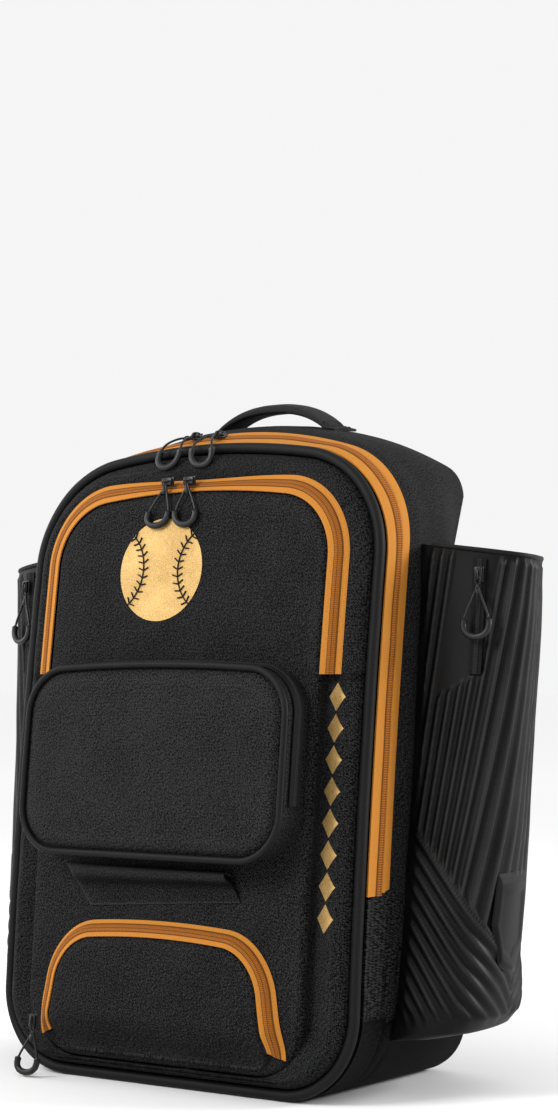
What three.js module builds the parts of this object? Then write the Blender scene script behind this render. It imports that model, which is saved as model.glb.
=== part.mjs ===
// A backpack for carrying baseball bats, standing on its base.
// Millimetres, +Z up, front towards -Y, origin on the floor under the middle of the base.
import * as THREE from "three";

// Main body
const BODY_WIDTH = 366;
const FRONT_HEIGHT = 529;
const BACK_HEIGHT = 551;
const FRONT_REACH = 97; // front edge of the base, forward of the origin
const FRONT_LEAN = 56; // how far the top of the front leans back
const BACK_REACH = 114;
const BODY_WALL = 3;
const BACK_TAPER = 24; // each side of the back is this much narrower than the front
const WAIST = 14; // how far the bats press each side in at the back
const BASE_CORNER = 70;
const TOP_CORNER = 95;
const BACK_EDGE = 20; // rounding of the back edge
const EDGE_GAP = 0.5; // clearance between neighbouring cloth pieces

// Piping and zips
const PIPING_RADIUS = 4.5;
const MAIN_ZIP_WIDTH = 30;
const MAIN_ZIP_END = 162; // height where the main zip stops on each side
const TAPE_WALL = 2;

// Front panel and the tall pocket on it
const PANEL_WALL = 2.5;
const PANEL_RISE = 11; // the padded panel stands this far in front of its piping
const PANEL_EDGE = 16; // width of the padded slope inside the piping
const POCKET_WIDTH = 282;
const POCKET_TOP = 487;
const POCKET_BOTTOM = 19;
const POCKET_FACE = 20; // pocket face in front of the piping line
const POCKET_FLOOR = 6;
const POCKET_CORNER = 54;
const POCKET_WALL = 2.5;
const UPPER_ZIP_END = 335;
const UPPER_ZIP_WIDTH = 17;

// Raised box pocket in the middle of the front
const BROW_WIDTH = 268;
const BROW_TOP = 344;
const BROW_BOTTOM = 188;
const BROW_DEPTH = 33;
const BROW_CORNER = 39;
const BROW_PIPING_RADIUS = 3;
const BROW_ZIP_END = 232;
const BROW_ZIP_WIDTH = 13;

// Tunnel band under the raised pocket
const BAND_TOP = 178;
const BAND_HEIGHT = 34;
const BAND_LEFT = 99;
const BAND_RIGHT = 70;
const BAND_SLANT = 24; // how far the left end leans in towards the bottom
const BAND_BULGE = 9;
const BAND_WALL = 2;

// Low pocket
const LOW_WIDTH = 232;
const LOW_TOP = 122;
const LOW_TAPER = 16;
const LOW_DEPTH = 11;
const LOW_CORNER = 36;
const LOW_ZIP_WIDTH = 14;
const LOW_ZIP_END = 40;

// Bat sleeves
const SLEEVE_RIM = 440;
const SLEEVE_BOTTOM = 47;
const SLEEVE_BULGE = 99;
const SLEEVE_FRONT = 5; // front seam at the rim, forward of the origin
const SLEEVE_SWEEP = 40; // how much further forward the seam is at the bottom
const SLEEVE_BACK = 98;
const SLEEVE_WALL = 2.6;
const SLEEVE_RIB = 1.4;
const SLEEVE_RIM_DROP = 12;
const SLEEVE_GAP = 0.7;
const SLEEVE_ZIP_LENGTH = 96;
const SLEEVE_ZIP_TOP = 8; // below the rim
const SLEEVE_GUARD_HEIGHT = 84;
const SLEEVE_TRIM_WALL = 1.8;
const SLEEVE_ZIP_LIFT = 0.9; // off the wall, where the ribs are low
const SLEEVE_GUARD_LIFT = 2.2; // off the wall, on its ribs
const SLEEVE_ZIP_SHARES = [0.115, 0.16]; // shares of the way round from the front seam
const SLEEVE_GUARD_SHARES = [0.36, 0.52];
const SLEEVE_GUARD_FOOT = 0.14; // share of the sleeve's height

// Carrying parts
const HANDLE_SPAN = 140;
const HANDLE_RISE = 11;
const HANDLE_WIDTH = 34;
const HANDLE_WALL = 8;
const HANDLE_Y = 54;
const HANDLE_FOOT = 24;
const HANDLE_FOOT_WALL = 3;
const PAD_WIDTH = 96;
const PAD_HEIGHT = 350;
const PAD_WALL = 13;
const PAD_BASE = 100;
const PAD_SPACING = 124; // between the middles of the two back pads
const STRAP_WIDTH = 62;
const STRAP_WALL = 12;
const STRAP_TOP = 486;
const STRAP_END = 196;
const STRAP_STAND_OFF = 44; // widest gap between strap and back
const STRAP_X = 58;
const STRAP_SPREAD = 54;
const WEBBING_WIDTH = 26;
const WEBBING_WALL = 2;
const WEBBING_FOOT = 74;
const BUCKLE_WIDTH = 38;
const BUCKLE_HEIGHT = 26;
const BUCKLE_WALL = 5;

// Zip sliders and their moulded pulls
const SLIDER_LENGTH = 13;
const SLIDER_WIDTH = 9;
const SLIDER_WALL = 5;
const PULL_LENGTH = 42;
const LOW_PULL_LENGTH = 33; // the low pocket's pull stops short of the floor
const PULL_WIDTH = 20;
const PULL_CORD = 1.6;
const PULL_GRIP = 2.8;

// Steps round each outline
const BASE_STEPS = 4;
const BASE_CORNER_STEPS = 5;
const TOP_CORNER_STEPS = 6;
const CROWN_STEPS = 4;
const ROW_HEIGHTS = [110, MAIN_ZIP_END - 5, MAIN_ZIP_END, 232, 302, 372, 425];

function finish(name, color, roughness, metalness = 0) {
  return new THREE.MeshStandardMaterial({ name, color, roughness, metalness });
}
const ballistic = finish("ballistic_cloth", 0x1d1d1f, 0.92);
const ribbed = finish("ribbed_cloth", 0x161617, 0.7);
const tape = finish("zip_tape", 0xd98e2b, 0.85);
const blackTape = finish("black_tape", 0x121213, 0.85);
const backMesh = finish("back_mesh", 0x202022, 0.95);
const enamel = finish("slider", 0x161616, 0.4, 0.6);
const moulded = finish("pull", 0x1a1a1a, 0.55);
const acetal = finish("buckle", 0x151515, 0.5);

const group = new THREE.Group();

function add(name, geometry, material) {
  const piece = new THREE.Mesh(geometry, material);
  piece.name = name;
  group.add(piece);
}

const FORWARD_AXIS = new THREE.Vector3(0, 1, 0);
const mix = THREE.MathUtils.lerp;
const clamp = THREE.MathUtils.clamp;

// The front face leans back and curves, the back is upright
function frontY(z) {
  const rise = z / FRONT_HEIGHT;
  return -FRONT_REACH + (FRONT_LEAN * (rise + rise * rise)) / 2;
}

// Rounded arch, listed anticlockwise seen from the front, starting at the middle of its bottom
function halfOutline(o, inset) {
  const low = o.bottom + inset;
  const high = o.top - inset;
  const half = o.half - inset;
  const topHalf = (o.topHalf ?? o.half) - inset;
  const lowCorner = Math.max(o.bottomCorner - inset, 1);
  const topCorner = Math.max(o.topCorner - inset, 1);
  const corner = topHalf - topCorner;
  let sweep = Math.PI / 2;
  for (let k = 0; k < 4; k++) sweep = Math.atan2(corner + topCorner * Math.cos(sweep), 2 * o.crown);
  const shoulder = corner + topCorner * Math.cos(sweep);
  const topCentre = high - o.crown - topCorner * Math.sin(sweep);
  const lowCentre = low + lowCorner;
  const points = [];
  for (let k = 0; k < BASE_STEPS; k++) points.push([((half - lowCorner) * k) / BASE_STEPS, low]);
  for (let k = 0; k <= BASE_CORNER_STEPS; k++) {
    const a = (-Math.PI / 2) * (1 - k / BASE_CORNER_STEPS);
    points.push([half - lowCorner + lowCorner * Math.cos(a), lowCentre + lowCorner * Math.sin(a)]);
  }
  for (const z of o.rows) {
    points.push([mix(half, topHalf, (z - lowCentre) / (topCentre - lowCentre)), z]);
  }
  for (let k = 0; k <= TOP_CORNER_STEPS; k++) {
    const a = (sweep * k) / TOP_CORNER_STEPS;
    points.push([corner + topCorner * Math.cos(a), topCentre + topCorner * Math.sin(a)]);
  }
  for (let k = 1; k <= CROWN_STEPS; k++) {
    const x = shoulder * (1 - k / CROWN_STEPS);
    points.push([x, high - o.crown * (x / shoulder) ** 2]);
  }
  const lastRow = o.rows[o.rows.length - 1];
  const fade = (z, from, to) => clamp((z - from) / (to - from), 0, 1);
  const press = (z) => (o.waist ?? 0) * fade(z, lowCentre, o.rows[0]) * fade(z, topCentre, lastRow);
  return points.map(([x, z]) => [x > 0 ? x - press(z) : 0, z]);
}

function outline(o, inset = 0) {
  const right = halfOutline(o, inset);
  const left = right.slice(1, -1).reverse().map(([x, z]) => [-x, z]);
  return [...right, ...left];
}

// The part of an outline above a height, from the left end over the top to the right end
function archway(o, inset, from) {
  const right = halfOutline(o, inset).filter(([, z]) => z >= from - 1e-6);
  const left = right.slice(0, -1).map(([x, z]) => [-x, z]);
  return [...left, ...right.reverse()];
}

// Puts outline points at a depth, given as a function of height
const at = (points, depth) => points.map(([x, z]) => new THREE.Vector3(x, depth(z), z));
const ahead = (distance) => (z) => frontY(z) - distance;
function faceCentre(o, distance) {
  const z = (o.top + o.bottom) / 2;
  return new THREE.Vector3(0, frontY(z) - distance, z);
}
const upright = (y) => () => y;

function toGeometry(vertices, triangles) {
  let volume = 0;
  for (const [a, b, c] of triangles) {
    volume += vertices[a].dot(new THREE.Vector3().crossVectors(vertices[b], vertices[c]));
  }
  const faces = volume < 0 ? triangles.map(([a, b, c]) => [a, c, b]) : triangles;
  const geometry = new THREE.BufferGeometry();
  geometry.setAttribute("position", new THREE.Float32BufferAttribute(vertices.flatMap((v) => v.toArray()), 3));
  geometry.setIndex(faces.flat());
  geometry.computeVertexNormals();
  return geometry;
}

function centreOf(ring) {
  return ring.reduce((sum, p) => sum.add(p), new THREE.Vector3()).divideScalar(ring.length);
}

// Joins closed rings of equally many points; the ends close in the middle, or on each other
function loft(rings, { endless = false, startCentre, endCentre } = {}) {
  const count = rings[0].length;
  const vertices = rings.flat();
  const triangles = [];
  const steps = endless ? rings.length : rings.length - 1;
  for (let i = 0; i < steps; i++) {
    for (let j = 0; j < count; j++) {
      const a = i * count + j;
      const b = i * count + ((j + 1) % count);
      const c = ((i + 1) % rings.length) * count + j;
      const d = ((i + 1) % rings.length) * count + ((j + 1) % count);
      triangles.push([a, b, d], [a, d, c]);
    }
  }
  if (!endless) {
    const last = (rings.length - 1) * count;
    const start = vertices.push(startCentre ?? centreOf(rings[0])) - 1;
    const end = vertices.push(endCentre ?? centreOf(rings[rings.length - 1])) - 1;
    for (let j = 0; j < count; j++) {
      const next = (j + 1) % count;
      triangles.push([start, next, j], [end, last + j, last + next]);
    }
  }
  return toGeometry(vertices, triangles);
}

// A sheet with thickness between two grids of points of the same size
function slab(outer, inner) {
  const rows = outer.length;
  const columns = outer[0].length;
  const vertices = [...outer.flat(), ...inner.flat()];
  const o = (i, j) => i * columns + j;
  const n = (i, j) => rows * columns + i * columns + j;
  const triangles = [];
  const quad = (a, b, c, d) => triangles.push([a, b, c], [a, c, d]);
  for (let i = 0; i < rows - 1; i++) {
    for (let j = 0; j < columns - 1; j++) {
      quad(o(i, j), o(i, j + 1), o(i + 1, j + 1), o(i + 1, j));
      quad(n(i, j), n(i + 1, j), n(i + 1, j + 1), n(i, j + 1));
    }
    quad(o(i, 0), o(i + 1, 0), n(i + 1, 0), n(i, 0));
    quad(o(i, columns - 1), n(i, columns - 1), n(i + 1, columns - 1), o(i + 1, columns - 1));
  }
  for (let j = 0; j < columns - 1; j++) {
    quad(o(0, j), n(0, j), n(0, j + 1), o(0, j + 1));
    quad(o(rows - 1, j), o(rows - 1, j + 1), n(rows - 1, j + 1), n(rows - 1, j));
  }
  return toGeometry(vertices, triangles);
}

// A round tube along a closed line of points, whose radius may change along it
function hoop(path, radius, sides) {
  const rings = path.map((point, i) => {
    const before = path[(i + path.length - 1) % path.length];
    const after = path[(i + 1) % path.length];
    const along = new THREE.Vector3().subVectors(after, before).normalize();
    const side = new THREE.Vector3().crossVectors(along, FORWARD_AXIS).normalize();
    const up = new THREE.Vector3().crossVectors(side, along).normalize();
    const r = typeof radius === "function" ? radius(i / path.length) : radius;
    return Array.from({ length: sides }, (_, k) => {
      const a = (2 * Math.PI * k) / sides;
      return point.clone().addScaledVector(side, r * Math.cos(a)).addScaledVector(up, r * Math.sin(a));
    });
  });
  return loft(rings, { endless: true });
}

// Outlines of the body from front to back
const FRONT = {
  half: BODY_WIDTH / 2,
  top: FRONT_HEIGHT,
  bottom: 0,
  crown: 8,
  topCorner: TOP_CORNER,
  bottomCorner: BASE_CORNER,
  rows: ROW_HEIGHTS,
};
const RISE = BACK_HEIGHT - FRONT_HEIGHT;
// Each row: share of the rise to the back, crown drop, top corner share, taper share, waist share
const SECTIONS = {
  zip: { rise: 0.55, crown: 17, corner: 0.95, taper: 0, waist: 0 },
  seam: { rise: 0.65, crown: 19, corner: 0.93, taper: 0, waist: 0 },
  middle: { rise: 0.9, crown: 28, corner: 0.66, taper: 0.5, waist: 0.5 },
  back: { rise: 1, crown: 38, corner: 0.32, taper: 1, waist: 1 },
};
function section(name) {
  const row = SECTIONS[name];
  return {
    ...FRONT,
    half: FRONT.half - BACK_TAPER * row.taper,
    top: FRONT_HEIGHT + RISE * row.rise,
    crown: row.crown,
    topCorner: TOP_CORNER * row.corner,
    bottomCorner: BASE_CORNER - BACK_TAPER * row.taper,
    waist: WAIST * row.waist,
  };
}

const zipBack = PIPING_RADIUS + EDGE_GAP + MAIN_ZIP_WIDTH;
// The front seam of a sleeve sweeps forward towards the bottom, and stays behind the main zip
function sleeveFrontY(z) {
  const share = clamp((z - SLEEVE_BOTTOM) / (SLEEVE_RIM - SLEEVE_BOTTOM), 0, 1);
  const swept = -SLEEVE_FRONT - SLEEVE_SWEEP * (1 - share) ** 1.6;
  return Math.max(swept, frontY(z) + zipBack + 12);
}
function rimY(z) {
  const besideZip = z > MAIN_ZIP_END - 1;
  return frontY(z) + (besideZip ? zipBack + EDGE_GAP : PIPING_RADIUS + EDGE_GAP);
}
const middleY = (z) => (sleeveFrontY(z) + SLEEVE_BACK) / 2;

function mainShell() {
  const wall = BODY_WALL;
  const outside = [
    at(outline(section("zip")), rimY),
    at(outline(section("seam")), sleeveFrontY),
    at(outline(section("middle")), middleY),
    at(outline(section("back")), upright(SLEEVE_BACK)),
    at(outline(section("back"), BACK_EDGE * 0.4), upright(BACK_REACH - BACK_EDGE * 0.25)),
    at(outline(section("back"), BACK_EDGE), upright(BACK_REACH)),
  ];
  const inside = [
    at(outline(section("back"), BACK_EDGE + wall), upright(BACK_REACH - wall)),
    at(outline(section("back"), wall), upright(SLEEVE_BACK - wall)),
    at(outline(section("middle"), wall), middleY),
    at(outline(section("zip"), wall), rimY),
  ];
  return loft([...outside.reverse(), ...inside.reverse()]);
}

function mainZip() {
  const edge = (name, depth, inset) => at(archway(name, inset, MAIN_ZIP_END), depth);
  const zipSection = section("zip");
  const front = (z) => frontY(z) + PIPING_RADIUS + EDGE_GAP;
  const back = (z) => frontY(z) + zipBack;
  const sunk = 0.2; // the tape lies just inside the body's outline
  const outer = [edge(FRONT, front, sunk), edge(zipSection, back, sunk)];
  const inner = [edge(FRONT, front, sunk + TAPE_WALL), edge(zipSection, back, sunk + TAPE_WALL)];
  return slab(outer, inner);
}

function frontPiping() {
  return hoop(at(outline(FRONT, PIPING_RADIUS + EDGE_GAP), frontY), PIPING_RADIUS, 6);
}

const POCKET = {
  half: POCKET_WIDTH / 2,
  top: POCKET_TOP,
  bottom: POCKET_BOTTOM,
  crown: 6,
  topCorner: POCKET_CORNER,
  bottomCorner: 48,
  rows: [90, 130, 190, 235, 290, UPPER_ZIP_END, 400],
};

function frontPanel() {
  const edge = 2 * (PIPING_RADIUS + EDGE_GAP);
  const wall = PANEL_WALL;
  const slope = (edge + PANEL_EDGE) / 2;
  const slopeRise = PANEL_RISE * 0.62;
  const lip = PANEL_RISE + 2.5; // the panel swells up against the pocket
  const rings = [
    at(outline(POCKET, -EDGE_GAP), ahead(POCKET_FLOOR)),
    at(outline(POCKET, -2 * EDGE_GAP), ahead(lip)),
    at(outline(FRONT, PANEL_EDGE), ahead(PANEL_RISE)),
    at(outline(FRONT, slope), ahead(slopeRise)),
    at(outline(FRONT, edge), ahead(1)),
    at(outline(FRONT, edge), ahead(1 - wall)),
    at(outline(FRONT, slope + wall), ahead(slopeRise - wall)),
    at(outline(FRONT, PANEL_EDGE), ahead(PANEL_RISE - wall)),
    at(outline(POCKET, -2 * EDGE_GAP - wall), ahead(lip - wall)),
    at(outline(POCKET, -2 * EDGE_GAP - wall), ahead(POCKET_FLOOR - wall)),
  ];
  return loft(rings, {
    startCentre: faceCentre(POCKET, POCKET_FLOOR),
    endCentre: faceCentre(POCKET, POCKET_FLOOR - wall),
  });
}

// An open-backed tray with a rounded front edge. Each row: inset, share of its depth
function tray(o, floor, depth, wall, edges) {
  const base = floor + EDGE_GAP;
  const outside = edges.map(([inset, share]) => at(outline(o, inset), ahead(mix(base, floor + depth, share))));
  const inside = edges.map(([inset, share]) => {
    const back = share > 0 ? mix(base, floor + depth, share) - wall : base;
    return at(outline(o, inset + wall), ahead(Math.max(back, base)));
  });
  return loft([...outside.reverse(), ...inside], {
    startCentre: faceCentre(o, floor + depth),
    endCentre: faceCentre(o, floor + depth - wall),
  });
}

function frontPocket() {
  const edges = [[0, 0], [0, 0.72], [1.5, 0.9], [6, 1]];
  return tray(POCKET, POCKET_FLOOR, POCKET_FACE - POCKET_FLOOR, POCKET_WALL, edges);
}

// A zip tape that slopes from one outline out to a wider one
function slopedTape(o, from, width, high, low) {
  const edge = (outset, height) => at(archway(o, -outset, from), ahead(height));
  const outer = [edge(EDGE_GAP, high), edge(width / 2, mix(low, high, 0.55)), edge(width, low)];
  const inner = [
    edge(EDGE_GAP, high - TAPE_WALL),
    edge(width / 2, mix(low, high, 0.55) - TAPE_WALL),
    edge(width, low - TAPE_WALL),
  ];
  return slab(outer, inner);
}

const BROW = {
  half: BROW_WIDTH / 2,
  top: BROW_TOP,
  bottom: BROW_BOTTOM,
  crown: 3,
  topCorner: BROW_CORNER,
  bottomCorner: BROW_CORNER,
  rows: [BROW_ZIP_END, 275, 300],
};
const browFace = POCKET_FACE + BROW_DEPTH;

// The front edge is notched all round, so that the piping lies in the notch
function browPocket() {
  const r = BROW_PIPING_RADIUS;
  const edges = [[0, 0], [0, 0.74], [1.5 * r, 0.78], [2.2 * r, 0.93], [5 * r, 1]];
  return tray(BROW, POCKET_FACE, BROW_DEPTH, POCKET_WALL, edges);
}
function browPiping() {
  return hoop(at(outline(BROW, 0.4 * BROW_PIPING_RADIUS), ahead(browFace - 4.6)), BROW_PIPING_RADIUS, 6);
}
function browZip() {
  const centre = POCKET_FACE + BROW_DEPTH * 0.42;
  const edge = (offset, outset) => at(archway(BROW, -outset, BROW_ZIP_END), ahead(centre + offset));
  const half = BROW_ZIP_WIDTH / 2;
  const outer = [edge(-half, EDGE_GAP + TAPE_WALL), edge(half, EDGE_GAP + TAPE_WALL)];
  const inner = [edge(-half, EDGE_GAP), edge(half, EDGE_GAP)];
  return slab(outer, inner);
}

// A cloth tunnel: its thick top edge bows out, its lower edge is sewn flat
function frontBand() {
  const columns = 10;
  // Each row: share of the height from the top, share of the bulge
  const profile = [[0.02, 0.35], [0, 0.8], [0.12, 1], [0.3, 0.8], [0.45, 0.5], [1, 0.06]];
  const surface = (back) => profile.map(([down, out]) =>
    Array.from({ length: columns + 1 }, (_, j) => {
      const share = j / columns;
      const z = BAND_TOP - BAND_HEIGHT * down * mix(1, 0.7, share) - back * (down < 0.1 ? 1 : 0);
      const left = -BAND_LEFT + BAND_SLANT * down;
      const right = BAND_RIGHT + 0.4 * BAND_SLANT * down;
      const bow = 0.45 + 0.55 * Math.sqrt(share);
      const height = POCKET_FACE - EDGE_GAP + BAND_WALL + BAND_BULGE * out * bow - back;
      return new THREE.Vector3(mix(left, right, share), frontY(z) - height, z);
    }));
  return slab(surface(0), surface(BAND_WALL));
}

const LOW = {
  half: LOW_WIDTH / 2,
  topHalf: LOW_WIDTH / 2 - LOW_TAPER,
  top: LOW_TOP,
  bottom: POCKET_BOTTOM + 5,
  crown: 3,
  topCorner: LOW_CORNER,
  bottomCorner: 14,
  rows: [LOW_ZIP_END, 62],
};

function lowPocket() {
  const edges = [[0, 0], [0, 0.5], [2.5, 0.86], [8, 1]];
  return tray(LOW, POCKET_FACE, LOW_DEPTH, POCKET_WALL, edges);
}

// Bat sleeves. Each row: share of the height, share of the bulge
const SLEEVE_ROWS = [
  [0, 0.035], [0.005, 0.38], [0.018, 0.62], [0.05, 0.74], [0.12, 0.79],
  [0.27, 0.84], [0.47, 0.89], [0.7, 0.94], [0.9, 0.98], [1, 1],
];
const SLEEVE_COLUMNS = 22;
const SIDES = ["seam", "middle", "back"].map((name) => halfOutline(section(name), 0));

// Half width of the body at a height, from the front seam of a sleeve (0) to its back seam (1)
function bodySide(along, z) {
  const width = (points) => {
    const k = points.findIndex(([, height], i) => i > BASE_STEPS && height > z);
    const [x0, z0] = points[k - 1];
    const [x1, z1] = points[k];
    return mix(x0, x1, (z - z0) / (z1 - z0));
  };
  const first = along < 0.5 ? 0 : 1;
  return mix(width(SIDES[first]), width(SIDES[first + 1]), 2 * along - first);
}

// A point of the sleeve's wall: round it from front seam to back seam, and up it
function sleevePoint(around, height, bulgeShare, inward) {
  const floor = Math.max(inward, 0) * clamp(1 - height / 0.08, 0, 1);
  const squareness = 2 / 3;
  const angle = Math.PI * around;
  const reach = Math.sin(angle) ** squareness;
  const along = (1 - Math.sign(Math.cos(angle)) * Math.abs(Math.cos(angle)) ** squareness) / 2;
  const z0 = mix(SLEEVE_BOTTOM, SLEEVE_RIM, height);
  const z = z0 - SLEEVE_RIM_DROP * reach * height ** 6 + floor;
  const front = sleeveFrontY(z0) + inward;
  const back = SLEEVE_BACK - inward;
  const y = mix(front, back, along);
  const seamShare = (y - sleeveFrontY(z0)) / (SLEEVE_BACK - sleeveFrontY(z0));
  const seam = bodySide(clamp(seamShare, 0, 1), z) + SLEEVE_GAP;
  const bulge = Math.max(SLEEVE_BULGE * bulgeShare - inward, 0.05);
  return new THREE.Vector3(seam + bulge * reach, y, z);
}
function sleeveGrid(inward, withRibs) {
  return SLEEVE_ROWS.map(([height, share]) =>
    Array.from({ length: SLEEVE_COLUMNS + 1 }, (_, j) => {
      const point = sleevePoint(j / SLEEVE_COLUMNS, height, share, inward);
      const raised = withRibs && j % 2 === 1 && height > 0.05;
      point.x += raised ? SLEEVE_RIB : 0;
      return point;
    }));
}
const mirrored = (grid) => grid.map((row) => row.map((p) => new THREE.Vector3(-p.x, p.y, p.z)));

// A spot on the sleeve's wall, lifted off it, by shares round it and up it
function onSleeve(around, height, lift) {
  const rows = sleeveGrid(-lift, false);
  const k = Math.max(1, SLEEVE_ROWS.findIndex(([h]) => h >= height));
  const up = (height - SLEEVE_ROWS[k - 1][0]) / (SLEEVE_ROWS[k][0] - SLEEVE_ROWS[k - 1][0]);
  const j = Math.min(Math.floor(around * SLEEVE_COLUMNS), SLEEVE_COLUMNS - 1);
  const along = around * SLEEVE_COLUMNS - j;
  const low = rows[k - 1][j].clone().lerp(rows[k - 1][j + 1], along);
  return low.lerp(rows[k][j].clone().lerp(rows[k][j + 1], along), up);
}

// Flat trim that lies on the ribs between two shares round the sleeve
function sleeveTrim(from, to, low, high, lift) {
  const rows = 6;
  const columns = 4;
  const grid = (height) => Array.from({ length: rows + 1 }, (_, i) =>
    Array.from({ length: columns + 1 }, (_, j) =>
      onSleeve(mix(from, to, j / columns), mix(low, high, i / rows), height)));
  return [grid(lift + SLEEVE_TRIM_WALL), grid(lift)];
}

function sleeves() {
  const tall = SLEEVE_RIM - SLEEVE_BOTTOM;
  const zipHigh = 1 - SLEEVE_ZIP_TOP / tall;
  const wall = [sleeveGrid(0, true), sleeveGrid(SLEEVE_WALL, false)];
  const zipLow = zipHigh - SLEEVE_ZIP_LENGTH / tall;
  const zip = sleeveTrim(...SLEEVE_ZIP_SHARES, zipLow, zipHigh, SLEEVE_ZIP_LIFT);
  const guardTop = SLEEVE_GUARD_FOOT + SLEEVE_GUARD_HEIGHT / tall;
  const guard = sleeveTrim(...SLEEVE_GUARD_SHARES, SLEEVE_GUARD_FOOT, guardTop, SLEEVE_GUARD_LIFT);
  for (const [side, turn] of [["right", (g) => g], ["left", mirrored]]) {
    add(`sleeve_${side}`, slab(...wall.map(turn)), ribbed);
    add(`sleeve_zip_${side}`, slab(...zip.map(turn)), blackTape);
    add(`sleeve_guard_${side}`, slab(...guard.map(turn)), ribbed);
  }
}

// Height of the body's top behind the main zip
const TOP_LINES = ["zip", "seam", "middle", "back"].map((name) => {
  const points = halfOutline(section(name), 0).slice(-CROWN_STEPS - 1);
  const depth = { zip: rimY, seam: sleeveFrontY, middle: middleY, back: upright(SLEEVE_BACK) }[name];
  return { points, y: depth(section(name).top) };
});
function topAt(x, y) {
  const height = ({ points }) => {
    const k = Math.max(1, points.findIndex(([px]) => px <= Math.abs(x)));
    const [x0, z0] = points[k - 1];
    const [x1, z1] = points[k];
    return mix(z0, z1, (Math.abs(x) - x0) / (x1 - x0));
  };
  const k = Math.max(1, TOP_LINES.findIndex((line) => line.y >= y));
  const [near, far] = [TOP_LINES[k - 1], TOP_LINES[k]];
  return mix(height(near), height(far), (y - near.y) / (far.y - near.y));
}

// A padded strap that lies flat at both ends and arches between them
function haulHandle() {
  const columns = 12;
  const half = HANDLE_WIDTH / 2;
  const grid = (level) => Array.from({ length: columns + 1 }, (_, j) => {
    const x = (HANDLE_SPAN / 2) * ((2 * j) / columns - 1);
    const arch = Math.max(0, 1 - (Math.abs(x) / (HANDLE_SPAN / 2 - HANDLE_FOOT / 2)) ** 2.6);
    const thick = mix(HANDLE_FOOT_WALL, HANDLE_WALL, Math.sqrt(arch));
    return [HANDLE_Y - half, HANDLE_Y, HANDLE_Y + half].map((y) => {
      const seat = topAt(x, y) + 1.5 * EDGE_GAP;
      return new THREE.Vector3(x, y, seat + HANDLE_RISE * arch + level * thick);
    });
  });
  return slab(grid(1), grid(0));
}

function backPad() {
  const o = {
    half: PAD_WIDTH / 2,
    top: PAD_BASE + PAD_HEIGHT,
    bottom: PAD_BASE,
    crown: 2,
    topCorner: 26,
    bottomCorner: 26,
    rows: [PAD_BASE + PAD_HEIGHT / 2],
  };
  const y = BACK_REACH + EDGE_GAP;
  return [[2, 0], [0, 0.4], [3, 0.8], [12, 1]].map(([inset, share]) =>
    at(outline(o, inset), upright(y + PAD_WALL * share)));
}

// Middle line of the right shoulder strap: a row per station
const STRAP_LINE = [
  // share down the strap, share of the stand-off, share of the sideways spread
  [0, 0.02, 0], [0.06, 0.28, 0.02], [0.16, 0.66, 0.08], [0.3, 0.93, 0.22], [0.46, 1, 0.42],
  [0.62, 0.95, 0.62], [0.8, 0.84, 0.82], [1, 0.7, 1],
];
const strapFoot = BACK_REACH + EDGE_GAP;
function strapPoint([down, off, spread]) {
  const y = strapFoot + STRAP_STAND_OFF * off;
  return new THREE.Vector3(STRAP_X + STRAP_SPREAD * spread, y, mix(STRAP_TOP, STRAP_END, down));
}

// A flat strip along a line of points that lies in front of the back
function strip(points, width, wall) {
  const grid = (out) => points.map((p, i) => {
    const before = points[Math.max(i - 1, 0)];
    const after = points[Math.min(i + 1, points.length - 1)];
    const along = new THREE.Vector3().subVectors(after, before).normalize();
    const across = new THREE.Vector3(-along.z, 0, along.x).normalize();
    const normal = new THREE.Vector3().crossVectors(across, along).normalize();
    if (normal.y < 0) normal.negate();
    return [-0.5, 0.5].map((side) =>
      p.clone().addScaledVector(across, width * side).addScaledVector(normal, out * wall));
  });
  return [grid(1), grid(0)];
}

function straps() {
  const line = STRAP_LINE.map(strapPoint);
  const end = line[line.length - 1];
  const buckleTop = end.clone().add(new THREE.Vector3(3, 1, -0.7));
  const buckleFoot = buckleTop.clone().add(new THREE.Vector3(5, -2, -BUCKLE_HEIGHT));
  const webbingTop = buckleFoot.clone().add(new THREE.Vector3(0.5, 0, -2));
  const anchor = new THREE.Vector3(STRAP_X + STRAP_SPREAD + 14, strapFoot, WEBBING_FOOT);
  const middle = webbingTop.clone().lerp(anchor, 0.55).add(new THREE.Vector3(0, 6, 0));
  const low = anchor.clone().add(new THREE.Vector3(-1, 2, 24));
  const pieces = {
    shoulder_strap: [strip(line, STRAP_WIDTH, STRAP_WALL), backMesh],
    strap_buckle: [strip([buckleTop, buckleFoot], BUCKLE_WIDTH, BUCKLE_WALL), acetal],
    strap_webbing: [strip([webbingTop, middle, low, anchor], WEBBING_WIDTH, WEBBING_WALL), blackTape],
  };
  for (const [name, [grids, material]] of Object.entries(pieces)) {
    add(`${name}_right`, slab(...grids), material);
    add(`${name}_left`, slab(...grids.map(mirrored)), material);
  }
}

// A moulded pull: a cord loop that swells into a grip, laid along a line that hangs from its slider
function pull(name, hang, length = PULL_LENGTH) {
  const count = 14;
  const path = Array.from({ length: count }, (_, k) => {
    const turn = (2 * Math.PI * k) / count;
    const down = (length * (1 - Math.cos(turn))) / 2;
    const across = (PULL_WIDTH / 2) * Math.sin(turn) * mix(0.35, 1, down / length);
    return hang(down, across);
  });
  const swell = (share) => (Math.abs(share - 0.5) < 0.2 ? PULL_GRIP : PULL_CORD);
  add(`pull_${name}`, hoop(path, swell, 6), moulded);
}

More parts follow.
